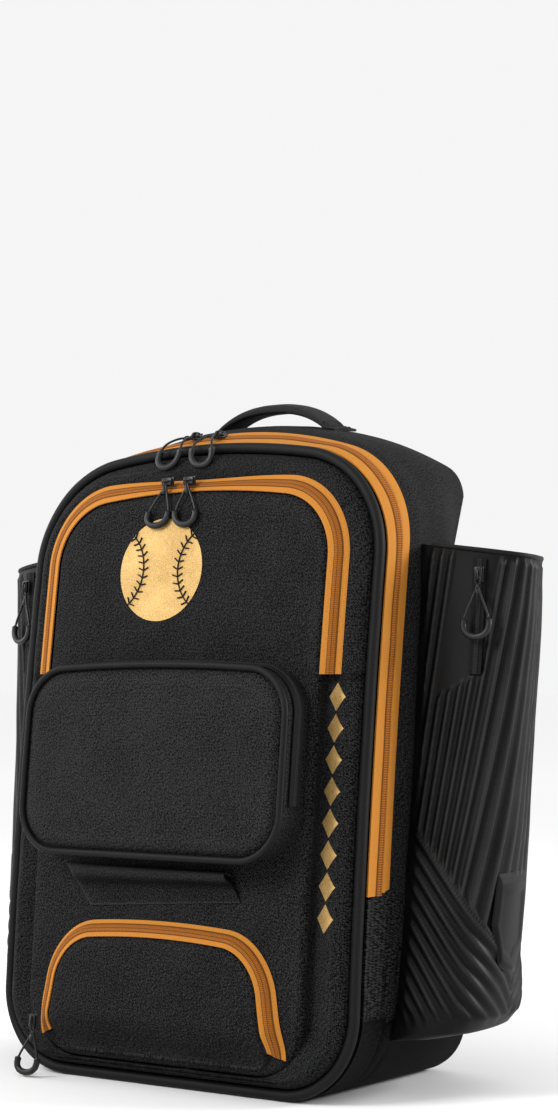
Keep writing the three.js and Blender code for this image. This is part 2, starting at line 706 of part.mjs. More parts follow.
// A zip slider on a tape, which it runs along
function slider(name, place, along, out) {
  const across = new THREE.Vector3().crossVectors(out, along);
  const body = new THREE.BoxGeometry(SLIDER_WIDTH, SLIDER_WALL, SLIDER_LENGTH);
  body.applyMatrix4(new THREE.Matrix4().makeBasis(across, out, along));
  const middle = place.clone().addScaledVector(out, SLIDER_WALL / 2 + EDGE_GAP);
  body.translate(middle.x, middle.y, middle.z);
  add(`slider_${name}`, body, enamel);
}

// On the front face, a pull hangs in front of the slope of the face
function frontSlider(name, x, z, height, clear, lean, length) {
  const slope = (FRONT_LEAN * (1 + (2 * z) / FRONT_HEIGHT)) / (2 * FRONT_HEIGHT);
  const along = new THREE.Vector3(0, slope, 1).normalize();
  const out = new THREE.Vector3(0, -1, slope).normalize();
  slider(name, new THREE.Vector3(x, frontY(z) - height, z), along, out);
  const start = z - SLIDER_LENGTH / 2 - PULL_CORD;
  pull(name, (down, across) => {
    const low = start - down;
    return new THREE.Vector3(x + across + lean * down, frontY(low) - clear, low);
  }, length);
}

// On the main zip, a slider lies on top and its pull drapes forward over the piping
function topSlider(name, x, lean) {
  const front = new THREE.Vector3(x, frontY(FRONT_HEIGHT) + PIPING_RADIUS, FRONT_HEIGHT);
  const back = new THREE.Vector3(x, frontY(FRONT_HEIGHT) + zipBack, section("zip").top);
  const slope = new THREE.Vector3().subVectors(back, front).normalize();
  const out = new THREE.Vector3(0, -slope.z, slope.y);
  const place = front.clone().lerp(back, 0.5);
  slider(name, place, new THREE.Vector3(1, 0, 0), out);
  const edge = SLIDER_WIDTH / 2 + PULL_CORD + EDGE_GAP;
  const start = place.clone().addScaledVector(slope, -edge).addScaledVector(out, SLIDER_WALL / 2 + 1);
  const brink = frontY(FRONT_HEIGHT) - PIPING_RADIUS;
  const line = new THREE.CatmullRomCurve3([
    start,
    new THREE.Vector3(x, brink + 6, FRONT_HEIGHT + 6),
    new THREE.Vector3(x, brink - 5, FRONT_HEIGHT),
    new THREE.Vector3(x, brink - 10, FRONT_HEIGHT - 10),
    new THREE.Vector3(x, brink - 15, FRONT_HEIGHT - 26),
  ]);
  const length = line.getLength();
  pull(name, (down, across) => {
    const point = line.getPointAt(down / length);
    return point.add(new THREE.Vector3(across + lean * down, 0, 0));
  });
}

// On a sleeve, the slider stops just under the rim and its pull hangs straight down
function sleeveSlider(side, sign) {
  const height = 1 - (SLEEVE_ZIP_TOP + SLIDER_LENGTH) / (SLEEVE_RIM - SLEEVE_BOTTOM);
  const lift = SLEEVE_ZIP_LIFT + SLEEVE_TRIM_WALL;
  const [from, to] = SLEEVE_ZIP_SHARES.map((share) => onSleeve(share, height, lift));
  const place = from.clone().lerp(to, 0.5);
  const tangent = to.clone().sub(from).setZ(0).normalize();
  const out = new THREE.Vector3(tangent.y, -tangent.x, 0);
  const mirror = new THREE.Vector3(sign, 1, 1);
  const up = new THREE.Vector3(0, 0, 1);
  slider(`sleeve_${side}`, place.clone().multiply(mirror), up, out.clone().multiply(mirror));
  const start = place.clone().addScaledVector(out, PULL_GRIP + 3 * EDGE_GAP);
  const drop = SLIDER_LENGTH / 2 + PULL_CORD + EDGE_GAP;
  const flare = 0.12; // the wall comes forward below the rim, and the pull lies along it
  pull(`sleeve_${side}`, (down, across) => start.clone().addScaledVector(tangent, across)
    .addScaledVector(out, flare * down).add(new THREE.Vector3(0, 0, -drop - down)).multiply(mirror));
}

add("main_shell", mainShell(), ballistic);
add("main_zip", mainZip(), tape);
add("front_piping", frontPiping(), ballistic);
add("front_panel", frontPanel(), ballistic);
add("front_pocket", frontPocket(), ballistic);
const upperTape = POCKET_FACE - EDGE_GAP;
add("upper_pocket_zip", slopedTape(POCKET, UPPER_ZIP_END, UPPER_ZIP_WIDTH, upperTape, PANEL_RISE + 3), tape);
add("brow_pocket", browPocket(), ballistic);
add("brow_pocket_piping", browPiping(), blackTape);
add("brow_pocket_zip", browZip(), blackTape);
add("front_band", frontBand(), ballistic);
add("low_pocket", lowPocket(), ballistic);
add("low_pocket_zip", slopedTape(LOW, LOW_ZIP_END, LOW_ZIP_WIDTH, POCKET_FACE + LOW_DEPTH - 1.5,
  POCKET_FACE + TAPE_WALL + EDGE_GAP), tape);
sleeves();
add("haul_handle", haulHandle(), blackTape);
for (const [side, sign] of [["right", 1], ["left", -1]]) {
  const shifted = backPad().map((ring) =>
    ring.map((p) => new THREE.Vector3(p.x + (sign * PAD_SPACING) / 2, p.y, p.z)));
  add(`back_pad_${side}`, loft(shifted), backMesh);
}
straps();
topSlider("main_left", -32, -0.45);
topSlider("main_right", -7, -0.15);
const upperSliderZ = POCKET_TOP + UPPER_ZIP_WIDTH / 2;
const upperPullClear = POCKET_FACE + PULL_GRIP + 1;
frontSlider("upper_left", -27, upperSliderZ, upperTape - EDGE_GAP, upperPullClear, -0.3);
frontSlider("upper_right", -4, upperSliderZ, upperTape - EDGE_GAP, upperPullClear, 0.02);
const lowTape = POCKET_FACE + LOW_DEPTH - 2.8;
const lowSliderX = -(LOW_WIDTH + LOW_ZIP_WIDTH) / 2;
const lowPullClear = lowTape + PULL_GRIP;
frontSlider("low", lowSliderX, LOW_ZIP_END + 6, lowTape, lowPullClear, -0.2, LOW_PULL_LENGTH);
sleeveSlider("right", 1);
sleeveSlider("left", -1);

export default group;
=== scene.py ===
"""A backpack for baseball bats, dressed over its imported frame.

Sizes are in millimetres unless a name or a comment says so.
"""

from __future__ import annotations

import logging
import math
from dataclasses import dataclass, field
from enum import Enum
from functools import lru_cache
from typing import Callable, Sequence

import bmesh
import bpy
from mathutils import Matrix, Vector, noise


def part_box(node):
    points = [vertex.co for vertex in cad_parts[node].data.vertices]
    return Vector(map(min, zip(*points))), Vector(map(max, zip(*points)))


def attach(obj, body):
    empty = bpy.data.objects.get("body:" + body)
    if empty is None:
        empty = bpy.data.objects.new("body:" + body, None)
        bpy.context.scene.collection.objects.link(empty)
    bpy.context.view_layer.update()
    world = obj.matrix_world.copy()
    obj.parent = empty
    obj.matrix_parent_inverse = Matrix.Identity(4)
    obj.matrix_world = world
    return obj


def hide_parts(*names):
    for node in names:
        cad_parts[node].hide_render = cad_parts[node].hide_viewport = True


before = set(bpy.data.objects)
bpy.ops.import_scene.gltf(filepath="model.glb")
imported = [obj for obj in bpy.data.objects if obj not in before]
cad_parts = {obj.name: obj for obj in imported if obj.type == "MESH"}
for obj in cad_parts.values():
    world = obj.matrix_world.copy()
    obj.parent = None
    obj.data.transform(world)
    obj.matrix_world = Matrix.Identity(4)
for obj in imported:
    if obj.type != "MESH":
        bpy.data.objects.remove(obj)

MM = 0.001  # metres
WELD = 1e-5  # metres between points that are sewn into one
TONE = "tone"
LOG = logging.getLogger("backpack")
Place = Callable[[float, float], Vector]


class Side(Enum):
    """The two sides of the bag, as the sign of X."""

    RIGHT = 1
    LEFT = -1

    @property
    def word(self) -> str:
        """The side's name as the nodes spell it."""
        return self.name.lower()

    def turned(self, point: Vector) -> Vector:
        """Puts a point of the right side on this side."""
        return Vector((point.x * self.value, point.y, point.z))


class Slot(Enum):
    """The material slots that the pieces carry."""

    CLOTH = "ballistic_cloth"
    RIBBED = "ribbed_cloth"
    ZIP = "zip_tape"
    TAPE = "black_tape"
    MESH = "back_mesh"
    SLIDER = "slider"
    PULL = "pull"
    BUCKLE = "buckle"


def mix(a: float, b: float, share: float) -> float:
    """Gives the number that lies a share of the way from a to b."""
    return a + (b - a) * share


def clamp(value: float, low: float = 0.0, high: float = 1.0) -> float:
    """Holds a value between two limits."""
    return max(low, min(high, value))


def ease(share: float) -> float:
    """Turns a share into one that starts and ends gently."""
    share = clamp(share)
    return share * share * (3 - 2 * share)


def dip(distance: float, half_width: float) -> float:
    """Gives the depth share of a rounded groove at a distance from its middle."""
    return math.exp(-((distance / half_width) ** 2))


def wander(x: float, y: float, z: float, size: float, seed: float = 0.0) -> float:
    """Gives smooth noise between about -1 and 1 for cloth that is never quite flat.

    Args:
        x, y, z: The point.
        size: How far apart its rises and dips lie.
        seed: Another number gives another pattern.

    Returns:
        The noise at that point.
    """
    return noise.noise(Vector((x / size + seed, y / size, z / size - seed)))


def along(stations: Sequence[Sequence[float]], share: float) -> list[float]:
    """Reads a smooth line through rows of numbers.

    Args:
        stations: Rows of (share, value, value, ...), with rising shares.
        share: Where to read it.

    Returns:
        The values there.
    """
    last = len(stations) - 2
    k = 0
    while k < last and stations[k + 1][0] < share:
        k += 1
    a, b = stations[k], stations[k + 1]
    before, after = stations[max(k - 1, 0)], stations[min(k + 2, last + 1)]
    span = b[0] - a[0]
    t = clamp((share - a[0]) / span)
    values = []
    for i in range(1, len(a)):
        rise_a = (b[i] - before[i]) / (b[0] - before[0]) * span
        rise_b = (after[i] - a[i]) / (after[0] - a[0]) * span
        values.append(
            (2 * t**3 - 3 * t**2 + 1) * a[i]
            + (t**3 - 2 * t**2 + t) * rise_a
            + (3 * t**2 - 2 * t**3) * b[i]
            + (t**3 - t**2) * rise_b
        )
    return values


# Finishes


class Wire:
    """A shader value. Arithmetic on it adds Math nodes."""

    def __init__(self, tree: bpy.types.NodeTree, socket: bpy.types.NodeSocket) -> None:
        """Wraps a socket of a node tree."""
        self.tree = tree
        self.socket = socket

    def math(self, operation: str, *values: "Wire | float") -> "Wire":
        """Adds one Math node.

        Args:
            operation: The node's operation.
            values: What goes into it, in order.

        Returns:
            Its result.
        """
        node = self.tree.nodes.new("ShaderNodeMath")
        node.operation = operation
        for socket, value in zip(node.inputs, values):
            if isinstance(value, Wire):
                self.tree.links.new(value.socket, socket)
            else:
                socket.default_value = value
        return Wire(self.tree, node.outputs[0])

    def __add__(self, other: "Wire | float") -> "Wire":
        """Adds."""
        return self.math("ADD", self, other)

    __radd__ = __add__

    def __mul__(self, other: "Wire | float") -> "Wire":
        """Multiplies."""
        return self.math("MULTIPLY", self, other)

    __rmul__ = __mul__

    def __sub__(self, other: "Wire | float") -> "Wire":
        """Takes away."""
        return self.math("SUBTRACT", self, other)

    def __rsub__(self, other: "Wire | float") -> "Wire":
        """Takes this away from a number."""
        return self.math("SUBTRACT", other, self)

    def __gt__(self, other: "Wire | float") -> "Wire":
        """Gives 1 where this is the greater, and else 0."""
        return self.math("GREATER_THAN", self, other)

    def sine(self) -> "Wire":
        """Gives the sine."""
        return self.math("SINE", self)

    def size(self) -> "Wire":
        """Gives the value without its sign."""
        return self.math("ABSOLUTE", self)

    def band(self, middle: float, half_width: float, soft: float) -> "Wire":
        """Gives 1 within a band of values and 0 outside it, with soft edges."""
        inside = half_width - (self - middle).size()
        step = self.tree.nodes.new("ShaderNodeMapRange")
        step.interpolation_type = "SMOOTHSTEP"
        self.tree.links.new(inside.socket, step.inputs["Value"])
        step.inputs["From Min"].default_value = -soft
        step.inputs["From Max"].default_value = soft
        return Wire(self.tree, step.outputs["Result"])


class Paint:
    """One material and the nodes that feed it."""

    def __init__(self, name: str, **surface: object) -> None:
        """Makes a material whose shader has the same value all over in the sockets given.

        Args:
            name: The material's name.
            surface: Socket names, with _ for a space, and their values.
        """
        self.material = bpy.data.materials.new(name)
        self.material.use_nodes = True
        self.tree = self.material.node_tree
        self.shader = self.tree.nodes["Principled BSDF"]
        for key, value in surface.items():
            self.shader.inputs[key.replace("_", " ")].default_value = value

    def node(
        self, kind: str, settings: dict[str, object], inputs: dict[str, object], output: str | int = 0
    ) -> Wire:
        """Adds a node.

        Args:
            kind: Its type, without the leading ShaderNode.
            settings: Its own properties, set first.
            inputs: A value or a Wire for each socket named.
            output: The socket that is wanted.

        Returns:
            That output.
        """
        node = self.tree.nodes.new("ShaderNode" + kind)
        for key, value in settings.items():
            setattr(node, key, value)
        for key, value in inputs.items():
            if isinstance(value, Wire):
                self.tree.links.new(value.socket, node.inputs[key])
            else:
                node.inputs[key].default_value = value
        return Wire(self.tree, node.outputs[output])

    def coordinates(self, output: str = "UV") -> Wire:
        """Gives the piece's own UV map in metres, or another coordinate."""
        return self.node("TexCoord", {}, {}, output)

    def axes(self, vector: Wire) -> tuple[Wire, Wire, Wire]:
        """Splits a vector into its three numbers, in millimetres."""
        split = self.node("SeparateXYZ", {}, {"Vector": vector}).socket.node
        return tuple(Wire(self.tree, socket) * (1 / MM) for socket in split.outputs)

    def tone(self) -> Wire:
        """Gives the piece's tone attribute, around 0, which carries darker seams and, on some pieces,
        painted light and shade.
        """
        return self.node("Attribute", {"attribute_name": TONE}, {}, "Fac") - 0.5

    def grain(self, scale: float, detail: float = 2.0) -> Wire:
        """Gives noise from 0 to 1, with a scale in cells per metre."""
        spot = self.coordinates("Object")
        return self.node("TexNoise", {}, {"Vector": spot, "Scale": scale, "Detail": detail})

    def blend(self, share: Wire, first: object, second: object) -> Wire:
        """Mixes two colours by a share."""
        node = self.tree.nodes.new("ShaderNodeMix")
        node.data_type = "RGBA"
        self.tree.links.new(share.socket, node.inputs[0])
        for socket, value in zip((node.inputs[6], node.inputs[7]), (first, second)):
            if isinstance(value, Wire):
                self.tree.links.new(value.socket, socket)
            else:
                socket.default_value = (*value, 1.0)
        return Wire(self.tree, node.outputs[2])

    def feed(self, socket: str, value: Wire) -> None:
        """Links a value to a socket of the shader."""
        self.tree.links.new(value.socket, self.shader.inputs[socket])

    def relief(self, height: Wire, depth: float) -> None:
        """Turns a height from 0 to 1 into the look of a relief.

        Args:
            height: The height.
            depth: What a height of 1 stands for, in millimetres.
        """
        self.feed("Normal", self.node("Bump", {}, {"Height": height, "Distance": depth * MM}))


@dataclass(frozen=True)
class WovenFinish:
    """Heavy woven cloth: a plain weave with speckled threads."""

    name: str
    dark: tuple[float, float, float]
    light: tuple[float, float, float]
    thread: float = 1.1
    relief: float = 0.15
    roughness: float = 0.8
    speckle: float = 1.0

    def material(self) -> bpy.types.Material:
        """Makes the material."""
        paint = Paint(self.name, Roughness=self.roughness, Specular_IOR_Level=0.05)
        u, v, _ = paint.axes(paint.coordinates())
        warp = (u * (math.pi / self.thread)).sine()
        weft = (v * (math.pi / self.thread)).sine()
        over = (warp * weft) > 0.0
        weave = over * warp.size() + (1 - over) * weft.size()
        fine = paint.grain(1300.0, 2.0)
        slanted = paint.node("CombineXYZ", {}, {"X": (u + v) * 1.4, "Y": (u - v) * 0.6})
        streaks = paint.node("TexNoise", {"noise_dimensions": "2D"}, {"Vector": slanted, "Scale": 0.62})
        fleck = 0.45 * fine + 0.55 * streaks
        cloud = paint.grain(28.0, 3.0)
        speck = (fleck - 0.5) * (7.5 * self.speckle) + (weave - 0.6) * (0.9 * self.speckle)
        tone = clamp_wire(0.32 + speck + (cloud - 0.5) * 0.5 + paint.tone())
        paint.feed("Base Color", paint.blend(tone, self.dark, self.light))
        paint.feed("Roughness", self.roughness - 0.12 + 0.2 * fleck)
        paint.relief(weave * 0.7 + fleck * 0.6, self.relief)
        return paint.material


def clamp_wire(value: Wire) -> Wire:
    """Holds a shader value between 0 and 1."""
    return value.math("MINIMUM", value.math("MAXIMUM", value, 0.0), 1.0)


@dataclass(frozen=True)
class SmoothClothFinish:
    """Closely woven or coated cloth with little grain, as on the sleeves."""

    name: str
    dark: tuple[float, float, float]
    light: tuple[float, float, float]
    roughness: float = 0.55

    def material(self) -> bpy.types.Material:
        """Makes the material."""
        paint = Paint(self.name, Roughness=self.roughness, Specular_IOR_Level=0.14)
        fine = paint.grain(1200.0, 2.0)
        cloud = paint.grain(22.0, 3.0)
        tone = clamp_wire(0.42 + (cloud - 0.5) * 0.6 + (fine - 0.5) * 1.2 + paint.tone())
        paint.feed("Base Color", paint.blend(tone, self.dark, self.light))
        paint.feed("Roughness", self.roughness - 0.08 + 0.16 * cloud)
        paint.relief(fine, 0.08)
        return paint.material


@dataclass(frozen=True)
class ZipFinish:
    """Zip tape with a coil along its middle, on a UV map whose V runs across it."""

    name: str
    width: float
    tape: tuple[float, float, float]
    shade: tuple[float, float, float]
    coil: tuple[float, float, float]
    coil_at: float = 0.5
    coil_width: float = 6.4
    pitch: float = 1.5

    def material(self) -> bpy.types.Material:
        """Makes the material."""
        paint = Paint(self.name, Roughness=0.7, Specular_IOR_Level=0.12)
        u, v, _ = paint.axes(paint.coordinates())
        middle = self.width * self.coil_at
        away = (v - middle).size()
        coil = away.band(0.0, self.coil_width / 2, 0.35)
        rows = away.band(self.coil_width / 2 + 0.5, 0.45, 0.3)
        inner = away.band(0.0, 0.35, 0.25)
        teeth = (u * (2 * math.pi / self.pitch)).sine() * 0.5 + 0.5
        ribs = (v * (2 * math.pi / 0.9)).sine() * 0.5 + 0.5
        fleck = paint.grain(1400.0, 2.0)
        ground = paint.blend(clamp_wire(0.35 + (fleck - 0.5) * 1.6 + ribs * 0.25), self.shade, self.tape)
        toothed = paint.blend(clamp_wire(teeth * 0.75 + (fleck - 0.5) * 0.5), self.coil, self.shade)
        colour = paint.blend(coil, ground, toothed)
        lines = clamp_wire(rows * 0.9 + inner * 0.6)
        paint.feed("Base Color", paint.blend(lines, colour, tuple(c * 0.3 for c in self.coil)))
        paint.relief(coil * teeth + (1 - coil) * ribs * 0.3 + (1 - lines) * 0.6, 0.5)
        return paint.material


@dataclass(frozen=True)
class WebbingFinish:
    """Woven webbing with ribs across it and a stitched line near each edge."""

    name: str
    dark: tuple[float, float, float]
    light: tuple[float, float, float]
    rib: float = 1.6

    def material(self) -> bpy.types.Material:
        """Makes the material."""
        paint = Paint(self.name, Roughness=0.72, Specular_IOR_Level=0.18)
        u, v, _ = paint.axes(paint.coordinates())
        across = (u * (2 * math.pi / self.rib)).sine() * 0.5 + 0.5
        lengthways = (v * (2 * math.pi / 1.2)).sine() * 0.5 + 0.5
        fleck = paint.grain(1100.0, 2.0)
        tone = clamp_wire(across * 0.45 + lengthways * 0.25 + (fleck - 0.5) * 0.9 + 0.1)
        paint.feed("Base Color", paint.blend(tone, self.dark, self.light))
        paint.relief(across * 0.6 + lengthways * 0.4, 0.3)
        return paint.material


@dataclass(frozen=True)
class SpacerMeshFinish:
    """Knitted spacer mesh: rows of small dark holes."""

    name: str
    dark: tuple[float, float, float]
    light: tuple[float, float, float]
    hole: float = 3.4

    def material(self) -> bpy.types.Material:
        """Makes the material."""
        paint = Paint(self.name, Roughness=0.9, Specular_IOR_Level=0.1, Sheen_Weight=0.03)
        u, v, _ = paint.axes(paint.coordinates())
        across = (u * (2 * math.pi / self.hole)).sine()
        upward = (v * (2 * math.pi / self.hole)).sine()
        hole = clamp_wire(across * upward * 2.4 - 0.5)
        fleck = paint.grain(1200.0, 2.0)
        tone = clamp_wire((1 - hole) * (0.55 + (fleck - 0.5) * 0.8))
        paint.feed("Base Color", paint.blend(tone, self.dark, self.light))
        paint.relief(1 - hole, 0.6)
        return paint.material


@dataclass(frozen=True)
class HardFinish:
    """Moulded plastic or enamelled metal."""

    name: str
    dark: tuple[float, float, float]
    light: tuple[float, float, float]
    roughness: float
    metallic: float = 0.0

    def material(self) -> bpy.types.Material:
        """Makes the material."""
        paint = Paint(self.name, Metallic=self.metallic, Specular_IOR_Level=0.28)
        cloud = paint.grain(160.0, 3.0)
        fine = paint.grain(2600.0, 1.0)
        paint.feed("Base Color", paint.blend(cloud, self.dark, self.light))
        paint.feed("Roughness", self.roughness - 0.1 + 0.2 * cloud)
        paint.relief(fine, 0.03)
        return paint.material


@dataclass(frozen=True)
class FoilFinish:
    """Metallic foil pressed on cloth, whose weave shows through."""

    name: str = "gold_foil"
    deep: tuple[float, float, float] = (0.22, 0.125, 0.035)
    pale: tuple[float, float, float] = (0.56, 0.37, 0.14)

    def material(self) -> bpy.types.Material:
        """Makes the material."""
        paint = Paint(self.name, Metallic=0.6, Specular_IOR_Level=0.3)
        fleck = paint.grain(1100.0, 3.0)
        cloud = paint.grain(30.0, 2.0)
        tone = clamp_wire(0.55 + (fleck - 0.5) * 1.8 + (cloud - 0.5) * 0.9)
        paint.feed("Base Color", paint.blend(tone, self.deep, self.pale))
        paint.feed("Roughness", 0.44 + 0.22 * fleck)
        paint.relief(fleck, 0.16)
        return paint.material


INK = (0.002, 0.002, 0.0022)
CLOTH = WovenFinish("ballistic_cloth_black", (0.0006, 0.0006, 0.0007), (0.0275, 0.0275, 0.028), thread=1.2)
BOOT = WovenFinish(
    "base_cloth_black", (0.0010, 0.0010, 0.0011), (0.0085, 0.0085, 0.0088), thread=0.9, speckle=0.6
)
RIBBED = SmoothClothFinish("sleeve_ribbed_black", (0.0003, 0.0003, 0.0004), (0.017, 0.017, 0.0175), 0.5)
GUARD = SmoothClothFinish("guard_black", (0.0010, 0.0010, 0.0012), (0.0075, 0.0075, 0.0078), 0.6)
WEBBING = WebbingFinish("webbing_black", (0.002, 0.002, 0.0022), (0.016, 0.016, 0.017))
SPACER = SpacerMeshFinish("spacer_mesh_black", INK, (0.022, 0.022, 0.023))
PIPING = SmoothClothFinish("piping_black", (0.0012, 0.0012, 0.00132), (0.0072, 0.0072, 0.0075), 0.6)
ENAMEL = HardFinish("enamel_black", (0.003, 0.003, 0.003), (0.008, 0.008, 0.008), 0.34)
MOULDED = HardFinish("moulded_black", (0.003, 0.003, 0.003), (0.009, 0.009, 0.009), 0.42)
ORANGE = ((0.44, 0.187, 0.029), (0.41, 0.145, 0.017), (0.19, 0.053, 0.007))
BLACK_ZIP = ((0.010, 0.010, 0.0105), (0.003, 0.003, 0.0033), (0.026, 0.026, 0.027))


@lru_cache(maxsize=None)
def finish_of(kind: object) -> bpy.types.Material:
    """Makes each finish's material once."""
    return kind.material()


# Forms


@dataclass(frozen=True)
class Arch:
    """A rounded arch seen from the front. Its outline runs anticlockwise from the middle of the bottom."""

    half: float
    top: float
    bottom: float
    crown: float
    top_corner: float
    bottom_corner: float
    flare: float = 0.0
    waist: float = 0.0
    press_rows: tuple[float, float] = (110.0, 425.0)

    @lru_cache(maxsize=4096)
    def _corners(self, inset: float) -> tuple[float, ...]:
        """Works out the centres and radii of the corners at an inset."""
        half = self.half - inset
        low_r = max(self.bottom_corner - inset, 1.0)
        top_r = max(self.top_corner - inset, 1.0)
        corner = half - top_r
        sweep = math.pi / 2
        for _ in range(4):
            sweep = math.atan2(corner + top_r * math.cos(sweep), 2 * self.crown)
        shoulder = corner + top_r * math.cos(sweep)
        high = self.top - inset
        top_z = high - self.crown - top_r * math.sin(sweep)
        low_z = self.bottom + inset + low_r
        return half, low_r, top_r, corner, sweep, shoulder, high, top_z, low_z

    @property
    @lru_cache(maxsize=None)
    def _spans(self) -> tuple[float, float]:
        """Half the share of the outline that each corner takes."""
        half, low_r, top_r, corner, sweep, shoulder, _, top_z, low_z = self._corners(0.0)
        low_arc = math.pi / 2 * low_r
        top_arc = sweep * top_r
        side = top_z - low_z
        low = 0.25 * low_arc / (low_arc + (half - low_r + side) / 2)
        top = 0.25 * top_arc / (top_arc + (shoulder + side) / 2)
        return low, top

    def press(self, z: float, inset: float = 0.0) -> float:
        """How far the side stands in from the plain arch at a height."""
        if self.flare:
            return -self.flare * clamp(1 - (z - self.bottom) / (self.top - self.bottom)) ** 1.5
        if not self.waist:
            return 0.0
        top_z, low_z = self._corners(inset)[7:]
        low_row, high_row = self.press_rows
        return self.waist * clamp((z - low_z) / (low_row - low_z)) * clamp((z - top_z) / (high_row - top_z))

    def point(self, share: float, inset: float = 0.0) -> tuple[float, float]:
        """Gives a point of the outline.

        Args:
            share: Share of the way round, in which the corners' middles lie at 1/8, 3/8, 5/8 and 7/8.
            inset: How far inside the outline.

        Returns:
            Its x and z.
        """
        share %= 1.0
        t = 2 * share if share <= 0.5 else 2 * (1 - share)
        side = 1 if share <= 0.5 else -1
        half, low_r, top_r, corner, sweep, shoulder, high, top_z, low_z = self._corners(round(inset, 3))
        low, top = self._spans
        if t < 0.25 - low:
            x, z = (half - low_r) * t / (0.25 - low), self.bottom + inset
        elif t < 0.25 + low:
            a = math.pi / 2 * ((t - 0.25 + low) / (2 * low) - 1)
            x, z = half - low_r + low_r * math.cos(a), low_z + low_r * math.sin(a)
        elif t < 0.75 - top:
            k = (t - 0.25 - low) / (0.5 - low - top)
            x, z = half, mix(low_z, top_z, k)
        elif t < 0.75 + top:
            a = sweep * (t - 0.75 + top) / (2 * top)
            x, z = corner + top_r * math.cos(a), top_z + top_r * math.sin(a)
        else:
            x = shoulder * (1 - (t - 0.75 - top) / (0.25 - top))
            z = high - self.crown * (x / shoulder) ** 2
        x -= self.press(z, inset) * min(x / shoulder, 1.0)
        return side * max(x, 0.0), z

    def outward(self, share: float) -> tuple[float, float]:
        """Gives the direction out of the outline at a share of the way round."""
        step = 0.002
        x0, z0 = self.point(share - step)
        x1, z1 = self.point(share + step)
        length = math.hypot(x1 - x0, z1 - z0) or 1.0
        return (z1 - z0) / length, -(x1 - x0) / length

    @lru_cache(maxsize=256)
    def share_at(self, z: float) -> float:
        """Gives the share at which the right side passes a height."""
        low, high = 0.0, 0.5
        for _ in range(40):
            middle = (low + high) / 2
            if self.point(middle)[1] < z:
                low = middle
            else:
                high = middle
        return low

    def width_at(self, z: float) -> float:
        """Half the width at a height."""
        half, low_r, top_r, corner, _, shoulder, high, top_z, low_z = self._corners(0.0)
        if z < low_z:
            x = half - low_r + math.sqrt(max(low_r**2 - (low_z - z) ** 2, 0.0))
        elif z < top_z:
            x = half
        elif z < high - self.crown:
            x = corner + math.sqrt(max(top_r**2 - (z - top_z) ** 2, 0.0))
        else:
            x = shoulder * math.sqrt(clamp((high - z) / self.crown))
        return x - self.press(z)


def perimeter(a: float, b: float) -> tuple[float, float]:
    """Reads a square grid as rings about its middle.

    Args:
        a, b: The point's shares across and up the grid.

    Returns:
        The ring's share of the way out, and the share of the way round it from the middle of its bottom.
    """
    s, t = 2 * a - 1, 2 * b - 1
    ring = max(abs(s), abs(t))
    if ring < 1e-9:
        return 0.0, 0.0
    if t <= -ring + 1e-9:
        return ring, (s / ring / 8) % 1.0
    if s >= ring - 1e-9:
        return ring, 0.25 + t / ring / 8
    if t >= ring - 1e-9:
        return ring, 0.5 - s / ring / 8
    return ring, 0.75 - t / ring / 8


